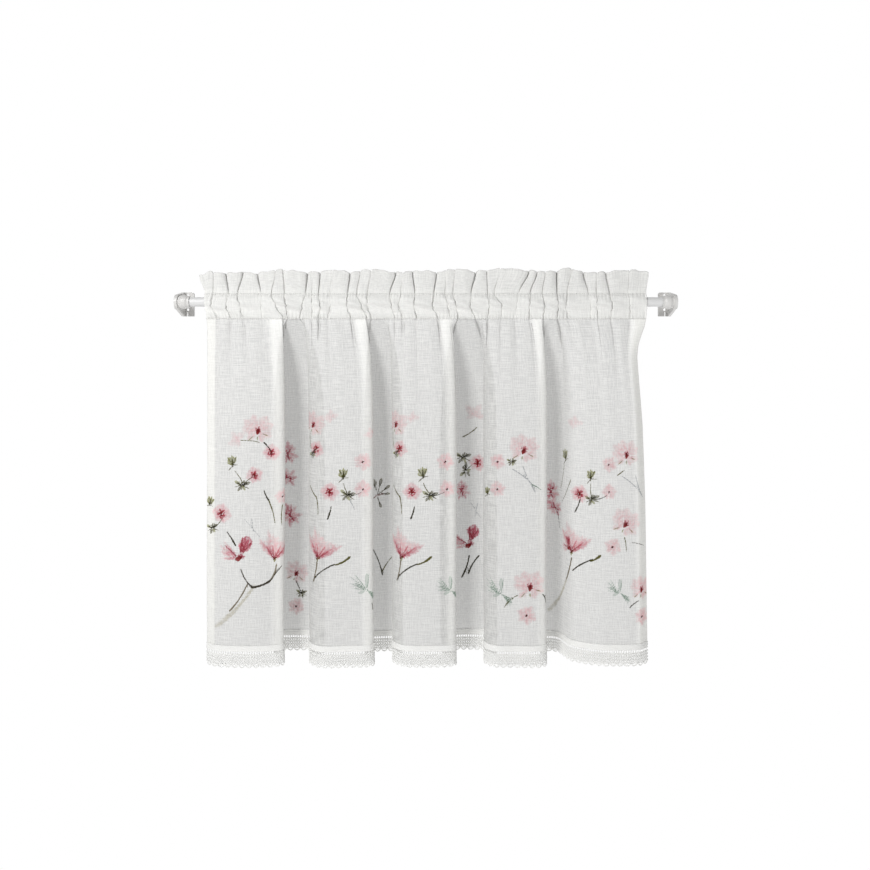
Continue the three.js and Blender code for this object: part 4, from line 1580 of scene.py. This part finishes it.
@dataclass
class Lace:
    """Cotton lace along the hem: a ribbed band, a ladder of holes, a lattice and a scalloped edge.

    Everything is a thread or band swept along a path on the lace, whose places are a flat position
    and a distance below the lace's upper edge, in millimetres.
    """

    distance: float = 0.5
    path_points: int = 560
    ladder_pitch: float = 2.7
    lattice_pitch: float = 5.4
    lattice_rows: int = 3
    lattice_top: float = 10.0
    lattice_height: float = 3.5
    scallop_pitch: float = 8.0
    scallop_top: float = 20.6
    scallop_depth: float = 3.6
    band_half: float = 3.4
    ladder_top: float = 6.6
    cord_below: float = 9.5
    rib_pitch: float = 2.7

    def sweep(
        self, hung: HungCloth, flat: np.ndarray, below: np.ndarray, section: np.ndarray
    ) -> Grid:
        """Sweeps a closed section along paths on the lace, and closes both ends to a point.

        Args:
            hung: the shape the cloth hangs in.
            flat: flat positions of the path's points, with any number of leading axes.
            below: their distances below the lace's upper edge.
            section: points of the section, sideways on the lace and out of it.

        Returns:
            The swept surface.
        """
        along_flat, along_below = np.gradient(flat, axis=-1), np.gradient(below, axis=-1)
        length = np.maximum(np.hypot(along_flat, along_below), 1e-6)
        ends = [(0, 0)] * (flat.ndim - 1) + [(1, 1)]
        flat, below, length, along_flat, along_below = (
            np.pad(values, ends, "edge") for values in (flat, below, length, along_flat, along_below)
        )
        swell = np.pad(np.ones(flat.shape[-1] - 2), (1, 1))[:, None]
        side, out = swell * section[:, 0], swell * section[:, 1]
        at_flat = flat[..., None] - (along_below / length)[..., None] * side
        at_below = below[..., None] + (along_flat / length)[..., None] * side
        heights = LACE_TOP - at_below
        normal = hung.front_normal(at_flat, heights)
        points = hung.middle(at_flat, heights) + (self.distance + out)[..., None] * normal
        return Grid(points, np.stack([at_flat, heights], axis=-1), ring=True)

    @staticmethod
    def thread(width: float, thickness: float, sides: int) -> np.ndarray:
        """Section of a thread: a flattened ring.

        Args:
            width: its width on the lace.
            thickness: its thickness out of the lace.
            sides: corners of the ring.

        Returns:
            The corners.
        """
        turn = np.arange(sides) * 2.0 * np.pi / sides
        return np.stack([0.5 * width * np.cos(turn), 0.5 * thickness * np.sin(turn)], axis=-1)

    def band_section(self) -> np.ndarray:
        """Section of the ribbed band: a flat back and a front with three low ribs.

        Returns:
            The corners, round the section.
        """
        half = self.band_half
        side = np.linspace(-half, half, 15)
        ribs = 0.12 + 0.14 * np.cos(side * 2.0 * np.pi / self.rib_pitch)
        front = np.stack([side, ribs], axis=-1)
        return np.concatenate([front, [[half, -0.2], [-half, 0.05 - self.distance]]])

    def build(self, hung: HungCloth) -> bpy.types.Object:
        """Makes the lace.

        Args:
            hung: the shape the cloth hangs in.

        Returns:
            The object.
        """
        whole = np.linspace(0.0, hung.width, self.path_points)
        grids = [self.sweep(hung, whole, np.full_like(whole, self.band_half), self.band_section())]
        cord = self.thread(0.9, 0.5, 6)
        grids.append(self.sweep(hung, whole, np.full_like(whole, self.cord_below), cord))
        bars = np.arange(0.5 * self.ladder_pitch, hung.width, self.ladder_pitch)
        ends = np.array([self.ladder_top, self.cord_below])
        grids.append(
            self.sweep(
                hung,
                bars[:, None] + 0.0 * ends,
                ends + 0.0 * bars[:, None],
                self.thread(1.1, 0.7, 4),
            )
        )
        periods = round(hung.width / self.lattice_pitch)
        path = np.linspace(0.0, hung.width, periods * 6 + 1)
        phases = np.array([0.0, 0.5])[:, None] + 0.0 * np.arange(self.lattice_rows)
        tops = self.lattice_top + self.lattice_height * np.arange(self.lattice_rows) + 0.0 * phases
        swing = 0.5 - 0.5 * np.cos(2.0 * np.pi * (path / self.lattice_pitch + phases.reshape(-1, 1)))
        below = tops.reshape(-1, 1) + self.lattice_height * swing
        grids.append(self.sweep(hung, path + 0.0 * below, below, self.thread(1.5, 0.6, 4)))
        scallops = round(hung.width / self.scallop_pitch)
        path = np.linspace(0.0, hung.width, scallops * 8 + 1)
        arc = np.abs(np.sin(np.pi * path / hung.width * scallops)) ** 0.8
        edge = self.thread(1.5, 0.9, 5)
        grids.append(self.sweep(hung, path, self.scallop_top + self.scallop_depth * arc, edge))
        grids.append(self.sweep(hung, path, self.scallop_top - 0.4 + 0.45 * self.scallop_depth * arc, cord))
        return grid_object("lace_hem", grids)


Value = Union["Val", float, int, tuple]


@dataclass(frozen=True)
class Val:
    """One output of a shader graph, with arithmetic."""

    graph: "Graph"
    socket: bpy.types.NodeSocket

    def _math(self, operation: str, a: Value, b: Value) -> "Val":
        """Adds a node that works on two values.

        Args:
            operation: the node's operation.
            a: the first value.
            b: the second value.

        Returns:
            The result.
        """
        return self.graph.node("ShaderNodeMath", {"operation": operation}, {0: a, 1: b})

    def __add__(self, other: Value) -> "Val":
        """This value plus another.

        Args:
            other: the other value.

        Returns:
            The result.
        """
        return self._math("ADD", self, other)

    def __radd__(self, other: Value) -> "Val":
        """Another value plus this one.

        Args:
            other: the other value.

        Returns:
            The result.
        """
        return self._math("ADD", other, self)

    def __sub__(self, other: Value) -> "Val":
        """This value less another.

        Args:
            other: the other value.

        Returns:
            The result.
        """
        return self._math("SUBTRACT", self, other)

    def __rsub__(self, other: Value) -> "Val":
        """Another value less this one.

        Args:
            other: the other value.

        Returns:
            The result.
        """
        return self._math("SUBTRACT", other, self)

    def __mul__(self, other: Value) -> "Val":
        """This value times another.

        Args:
            other: the other value.

        Returns:
            The result.
        """
        return self._math("MULTIPLY", self, other)

    def __rmul__(self, other: Value) -> "Val":
        """Another value times this one.

        Args:
            other: the other value.

        Returns:
            The result.
        """
        return self._math("MULTIPLY", other, self)

    def __truediv__(self, other: Value) -> "Val":
        """This value over another.

        Args:
            other: the other value.

        Returns:
            The result.
        """
        return self._math("DIVIDE", self, other)

    def __rtruediv__(self, other: Value) -> "Val":
        """Another value over this one.

        Args:
            other: the other value.

        Returns:
            The result.
        """
        return self._math("DIVIDE", other, self)

    def __abs__(self) -> "Val":
        """This value without its sign.

        Returns:
            The result.
        """
        return self._math("ABSOLUTE", self, 0.0)

    def at_most(self, other: Value) -> "Val":
        """The smaller of this value and another.

        Args:
            other: the other value.

        Returns:
            The result.
        """
        return self._math("MINIMUM", self, other)

    def at_least(self, other: Value) -> "Val":
        """The larger of this value and another.

        Args:
            other: the other value.

        Returns:
            The result.
        """
        return self._math("MAXIMUM", self, other)


class Graph:
    """The shader graph of one material."""

    def __init__(self, name: str) -> None:
        """Starts an empty graph.

        Args:
            name: the material's name.
        """
        self.material = bpy.data.materials.new(name)
        self.material.use_nodes = True
        self.tree = self.material.node_tree
        self.tree.nodes.clear()

    def node(
        self,
        kind: str,
        settings: Mapping[str, Any] | None = None,
        inputs: Mapping[Union[str, int], Value] | None = None,
        output: Union[str, int] = 0,
    ) -> Val:
        """Adds a node of any type.

        Args:
            kind: the node's type.
            settings: its properties by name.
            inputs: constants or values by input name or number.
            output: the output to use.

        Returns:
            The chosen output.
        """
        made = self.tree.nodes.new(kind)
        for key, value in (settings or {}).items():
            setattr(made, key, value)
        for key, value in (inputs or {}).items():
            if isinstance(value, Val):
                self.tree.links.new(value.socket, made.inputs[key])
            else:
                made.inputs[key].default_value = value
        return Val(self, made.outputs[output])

    def mix_colors(self, a: Value, b: Value, factor: Value, blend: str = "MIX") -> Val:
        """Mixes two colours.

        Args:
            a: the colour at factor 0.
            b: the colour at factor 1.
            factor: share of b.
            blend: how the second colour is laid on the first.

        Returns:
            The mixed colour.
        """
        settings = {"data_type": "RGBA", "blend_type": blend, "clamp_factor": True}
        return self.node("ShaderNodeMix", settings, {0: factor, 6: a, 7: b}, 2)

    def ramp(self, value: Value, low: Value, high: Value) -> Val:
        """Eases a value from 0 at low to 1 at high.

        Args:
            value: the value.
            low: where the ramp starts.
            high: where it ends.

        Returns:
            The eased share.
        """
        settings = {"interpolation_type": "SMOOTHSTEP", "clamp": True}
        return self.node("ShaderNodeMapRange", settings, {0: value, 1: low, 2: high, 3: 0.0, 4: 1.0})

    def attribute(self, name: str, output: str = "Fac") -> Val:
        """Reads an attribute of the mesh.

        Args:
            name: the attribute's name.
            output: Fac for a number, Vector for three, Color for a colour, Alpha for its opacity.

        Returns:
            The value.
        """
        return self.node("ShaderNodeAttribute", {"attribute_name": name}, None, output)

    def streaks(self, scale: tuple[float, float], seed: float, detail: float = 2.0) -> Val:
        """Noise on the flat cloth, stretched along one way of the weave.

        Args:
            scale: cells in a metre across and along the cloth.
            seed: shifts the pattern.
            detail: finer octaves.

        Returns:
            The noise, around one half.
        """
        place = self.node("ShaderNodeUVMap", {"uv_map": "FlatCloth"})
        scaled = self.node(
            "ShaderNodeVectorMath",
            {"operation": "MULTIPLY_ADD"},
            {0: place, 1: (scale[0], scale[1], 1.0), 2: (seed, 2.3 * seed, seed)},
        )
        settings = {"noise_dimensions": "2D"}
        return self.node(
            "ShaderNodeTexNoise", settings, {"Vector": scaled, "Scale": 1.0, "Detail": detail}
        )

    def finish(self, surface: Val) -> bpy.types.Material:
        """Connects the surface and returns the material.

        Args:
            surface: the shader to show.

        Returns:
            The material.
        """
        output = self.tree.nodes.new("ShaderNodeOutputMaterial")
        self.tree.links.new(surface.socket, output.inputs["Surface"])
        return self.material


def rgba(tone: Tone) -> tuple[float, float, float, float]:
    """A tone with full opacity.

    Args:
        tone: the tone.

    Returns:
        Its four numbers.
    """
    return (*tone.value, 1.0)


@dataclass(frozen=True)
class DyeEdge:
    """How the dye of a layer ends at the edge of its strokes, in millimetres, and how it lies inside."""

    low: float
    high: float
    raggedness: float
    streaks: float
    hollow: float
    blotches: float = 0.0


DYE_EDGES = {
    Layer.PETALS: DyeEdge(-0.8, 1.2, 5.0, 0.9, 0.0, 2.4),
    Layer.TWIGS: DyeEdge(-0.25, 0.35, 1.3, 0.0, 0.0),
    Layer.LEAVES: DyeEdge(-0.40, 0.20, 1.0, 0.5, 0.35),
    Layer.CORES: DyeEdge(-0.75, 0.05, 1.3, 0.0, 0.0),
}


@dataclass(frozen=True)
class SheerFinish:
    """Thin linen-look cloth: loose threads with slubs, and gaps that let some of the light through."""

    name: str
    openness: float = 0.24
    through: float = 0.18
    has_print: bool = False

    def printed(self, graph: Graph, color: Val, weave: Val) -> tuple[Val, Val]:
        """Lays the print's layers on the cloth's colour; the dye takes better on the threads.

        Args:
            graph: the material's graph.
            color: the cloth's colour.
            weave: 1 on the threads, 0 in the gaps.

        Returns:
            The printed colour, and how much of the light the dye holds back.
        """
        grain = graph.streaks((620.0, 620.0), 23.0, 3.0)
        blotch = graph.streaks((300.0, 300.0), 31.0, 3.0)
        held = None
        for layer, edge in DYE_EDGES.items():
            shape = graph.attribute(layer.value + "_shape", "Vector")
            side, width, known = (graph.node("ShaderNodeSeparateXYZ", None, {0: shape}, i) for i in range(3))
            depth = (width - abs(side)).at_most(known + 0.9)
            dye = graph.attribute(layer.value + "_dye", "Color")
            strength = graph.attribute(layer.value + "_dye", "Alpha")
            amount = graph.ramp(depth + edge.raggedness * (grain - 0.5), edge.low, edge.high) * strength
            if edge.streaks > 0.0:
                across = side / width.at_least(0.6)
                place = graph.node("ShaderNodeCombineXYZ", None, {0: 4.0 * across, 1: 0.12 * width})
                vein = graph.node(
                    "ShaderNodeTexNoise",
                    {"noise_dimensions": "2D"},
                    {"Vector": place, "Scale": 1.0, "Detail": 2.0},
                )
                amount = amount * (1.0 + edge.streaks * 2.0 * (vein - 0.5))
            if edge.blotches > 0.0:
                amount = amount * (1.1 + edge.blotches * (blotch - 0.5))
            if edge.hollow > 0.0:
                amount = amount * (1.0 - edge.hollow * graph.ramp(depth, 0.2, 0.9))
            amount = amount * (1.0 + 0.20 * weave)
            color = graph.mix_colors(color, dye, amount, "MULTIPLY")
            held = amount if held is None else held + (1.0 - held) * amount
        return color, held

    def build(self) -> bpy.types.Material:
        """Makes the material.

        Returns:
            The material.
        """
        graph = Graph(self.name)
        upright = graph.streaks((1100.0, 70.0), 3.0)
        level = graph.streaks((60.0, 1100.0), 7.0)
        slub = graph.streaks((700.0, 700.0), 11.0)
        weave = graph.ramp(0.42 * upright + 0.42 * level + 0.16 * slub, 0.34, 0.66)
        # Gaps of the weave get a darker tone: the weave's pattern plus painted shade for what is seen through
        # them.
        single = graph.mix_colors(rgba(Tone.CLOTH_GAP_SHADE), rgba(Tone.CLOTH_THREAD), weave)
        # Painted light: where layers of cloth overlap, the colour is painted towards a whiter tone, standing
        # in for light scattered between them.
        overlap_lit = 0.9 * graph.ramp(graph.attribute("plies_painted_light"), 1.1, 3.2)
        color = graph.mix_colors(single, rgba(Tone.CLOTH_OVERLAP_LIT), overlap_lit)
        gaps = self.openness * (1.0 - 0.6 * weave)
        if self.has_print:
            color, held = self.printed(graph, color, weave)
            gaps = gaps * (1.0 - held)
        bump = graph.node("ShaderNodeBump", None, {"Strength": 0.25, "Distance": 0.0006, "Height": weave})
        surface = graph.node(
            "ShaderNodeBsdfPrincipled",
            None,
            {
                "Base Color": color,
                "Roughness": 0.9,
                "Specular IOR Level": 0.1,
                "Sheen Weight": 0.05,
                "Alpha": 1.0 - gaps,
                "Normal": bump,
            },
        )
        glow = graph.node("ShaderNodeBsdfTranslucent", None, {"Color": color})
        return graph.finish(graph.node("ShaderNodeMixShader", None, {0: self.through, 1: surface, 2: glow}))


@dataclass(frozen=True)
class LaceFinish:
    """Matt cotton thread, thin enough to let a little of the light through."""

    name: str
    through: float = 0.14

    def build(self) -> bpy.types.Material:
        """Makes the material.

        Returns:
            The material.
        """
        graph = Graph(self.name)
        twist = graph.streaks((900.0, 900.0), 5.0)
        color = graph.mix_colors(rgba(Tone.LACE_THREAD), rgba(Tone.LACE), graph.ramp(twist, 0.3, 0.6))
        bump = graph.node("ShaderNodeBump", None, {"Strength": 0.3, "Distance": 0.0005, "Height": twist})
        surface = graph.node(
            "ShaderNodeBsdfPrincipled", None, {"Base Color": color, "Roughness": 0.9, "Normal": bump}
        )
        glow = graph.node("ShaderNodeBsdfTranslucent", None, {"Color": color})
        return graph.finish(graph.node("ShaderNodeMixShader", None, {0: self.through, 1: surface, 2: glow}))


@dataclass(frozen=True)
class SmoothFinish:
    """Plain moulded or lacquered surface."""

    name: str
    tone: Tone
    roughness: float

    def build(self) -> bpy.types.Material:
        """Makes the material.

        Returns:
            The material.
        """
        graph = Graph(self.name)
        surface = graph.node(
            "ShaderNodeBsdfPrincipled",
            None,
            {"Base Color": rgba(self.tone), "Roughness": self.roughness},
        )
        return graph.finish(surface)


def dress(made: bpy.types.Object, material: bpy.types.Material) -> None:
    """Gives an object its one material.

    Args:
        made: the object.
        material: the material.
    """
    made.data.materials.clear()
    made.data.materials.append(material)


@dataclass
class Curtain:
    """The whole curtain: heading, two stretches of hanging cloth and lace, on one hung shape."""

    hung: HungCloth = field(default_factory=HungCloth)
    heading: Heading = field(default_factory=Heading)
    upper: Body = field(default_factory=lambda: Body("cloth_upper", SEAM_BELOW, PRINT_TOP, 1080, 40, 1.3))
    body: Body = field(
        default_factory=lambda: Body(
            "cloth_body", PRINT_TOP, CLOTH_BOTTOM, 540, 168, hem_rows=4, printed=True
        )
    )
    lace: Lace = field(default_factory=Lace)

    def build(self) -> None:
        """Builds and dresses the pieces of cloth."""
        points, length = self.heading.surface()
        flats = self.hung.flat_of_pocket(points[0, :, 0])
        uv = np.stack(np.broadcast_arrays(flats[None, :], length[:, None]), axis=-1)
        in_frill = smooth_step(SEAM_ABOVE, 2.0 * SEAM_ABOVE, points[..., 2])
        # Painted light: the double heading is painted whiter, as overlapping cloth.
        layers = {"plies_painted_light": lerp(POCKET_LAYERS, FRILL_LAYERS, in_frill)}
        seams = [self.heading.stitches(points[row]) for row in (0, self.heading.pocket_rows - 1)]
        top = grid_object("cloth_heading", [Grid(points, uv, floats=layers), *seams])
        dress(top, SheerFinish("sheer_cloth_heading", openness=0.14, through=0.08).build())
        upper = self.upper.build(self.hung)
        dress(upper, SheerFinish("sheer_cloth_upper").build())
        main_cloth = self.body.build(self.hung)
        dress(main_cloth, SheerFinish("sheer_cloth_body", has_print=True).build())
        lengths = (
            (top, float(length[-1])),
            (upper, SEAM_BELOW - PRINT_TOP),
            (main_cloth, PRINT_TOP - CLOTH_BOTTOM + BOTTOM_HEM),
        )
        for made, cloth_length in lengths:
            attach(made, "root")
            side_hems = 0.0 if made is top else 2.0 * SIDE_HEM
            flat = ((self.hung.width + side_hems) * MM, cloth_length * MM)
        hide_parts("curtain_cloth")
        trim = self.lace.build(self.hung)
        dress(trim, LaceFinish("lace_cotton").build())
        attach(trim, "root")
        lace_size = (self.hung.width * MM, (LACE_TOP - LACE_BOTTOM) * MM)
        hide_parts("lace_trim")
        log.info("flat width of the cloth: %.1f mm", self.hung.width)


@dataclass
class Studio:
    """Pale floor that sweeps up behind, soft lights and the camera."""

    camera_at: tuple = (10.4, -1030.0, 4.6)
    picture: float = PHOTO_SCALE * PHOTO_PIXELS
    distance: float = 1000.0
    shift_down: float = -0.1575
    floor: float = -1100.0
    bend: float = 1500.0
    world_strength: float = 0.15
    aim: tuple = (0.0, 0.0, -190.0)
    sensor: float = 36.0

    def sweep(self) -> bpy.types.Object:
        """Floor and backdrop in one smooth sweep: a level run, a quarter circle and an upright run.

        Returns:
            The object.
        """
        along = np.linspace(0.0, 1.0, 25)
        bend = 0.5 * np.pi * along
        y = np.concatenate([[-4000.0], 2500.0 + self.bend * np.sin(bend), [4000.0]])
        z = np.concatenate([[self.floor], self.floor + self.bend * (1.0 - np.cos(bend)), [5000.0]])
        x = np.array([-6000.0, 6000.0])
        points = np.stack(np.broadcast_arrays(x[None, :], y[:, None], z[:, None]), axis=-1)
        return grid_object("floor_sweep", [Grid(points, points[..., :2])])

    def build(self) -> None:
        """Makes the floor, the world's light, the lights and the camera."""
        floor = self.sweep()
        graph = Graph("pale_floor")
        glow = graph.node("ShaderNodeEmission", None, {"Color": rgba(Tone.STUDIO), "Strength": 1.0})
        dress(floor, graph.finish(glow))
        world = bpy.data.worlds.new("studio")
        bpy.context.scene.world = world
        world.use_nodes = True
        background = world.node_tree.nodes["Background"]
        background.inputs["Color"].default_value = rgba(Tone.STUDIO)
        background.inputs["Strength"].default_value = self.world_strength
        self.light("key", (-760, -1450, 820), 0.5, 25.5)
        self.light("fill", (700, -1700, 300), 1.6, 4.0)
        camera = bpy.data.cameras.new("camera")
        camera.sensor_width = self.sensor
        camera.lens = self.sensor * self.distance / self.picture
        camera.shift_y = self.shift_down
        camera.clip_start = 0.05
        camera.clip_end = 50.0
        holder = bpy.data.objects.new("camera", camera)
        holder.location = [v * MM for v in self.camera_at]
        holder.rotation_euler = (math.pi / 2, 0.0, 0.0)
        bpy.context.scene.collection.objects.link(holder)
        bpy.context.scene.camera = holder
        bpy.context.scene.view_settings.view_transform = "Standard"

    def light(self, name: str, place: tuple, size: float, power: float) -> None:
        """Adds a square soft light that faces the curtain's middle.

        Args:
            name: the light's name.
            place: where it stands, in millimetres.
            size: its side in metres.
            power: its power in watts.
        """
        lamp = bpy.data.lights.new(name, "AREA")
        lamp.size = size
        lamp.energy = power
        holder = bpy.data.objects.new(name, lamp)
        holder.location = [v * MM for v in place]
        aim = np.array(self.aim) - np.array(place, dtype=float)
        flat = math.hypot(aim[0], aim[1])
        holder.rotation_euler = (math.atan2(flat, -aim[2]), 0.0, math.atan2(-aim[0], aim[1]))
        bpy.context.scene.collection.objects.link(holder)


def main() -> None:
    """Builds the looks."""
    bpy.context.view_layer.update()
    Curtain().build()
    for name, finish in (
        ("rod", SmoothFinish("rod_lacquer", Tone.ROD, 0.35)),
        ("bracket_left", SmoothFinish("bracket_moulding", Tone.BRACKET, 0.4)),
        ("bracket_right", SmoothFinish("bracket_moulding_right", Tone.BRACKET, 0.4)),
    ):
        dress(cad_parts[name], finish.build())
    Studio().build()


if __name__ == "__main__":
    main()
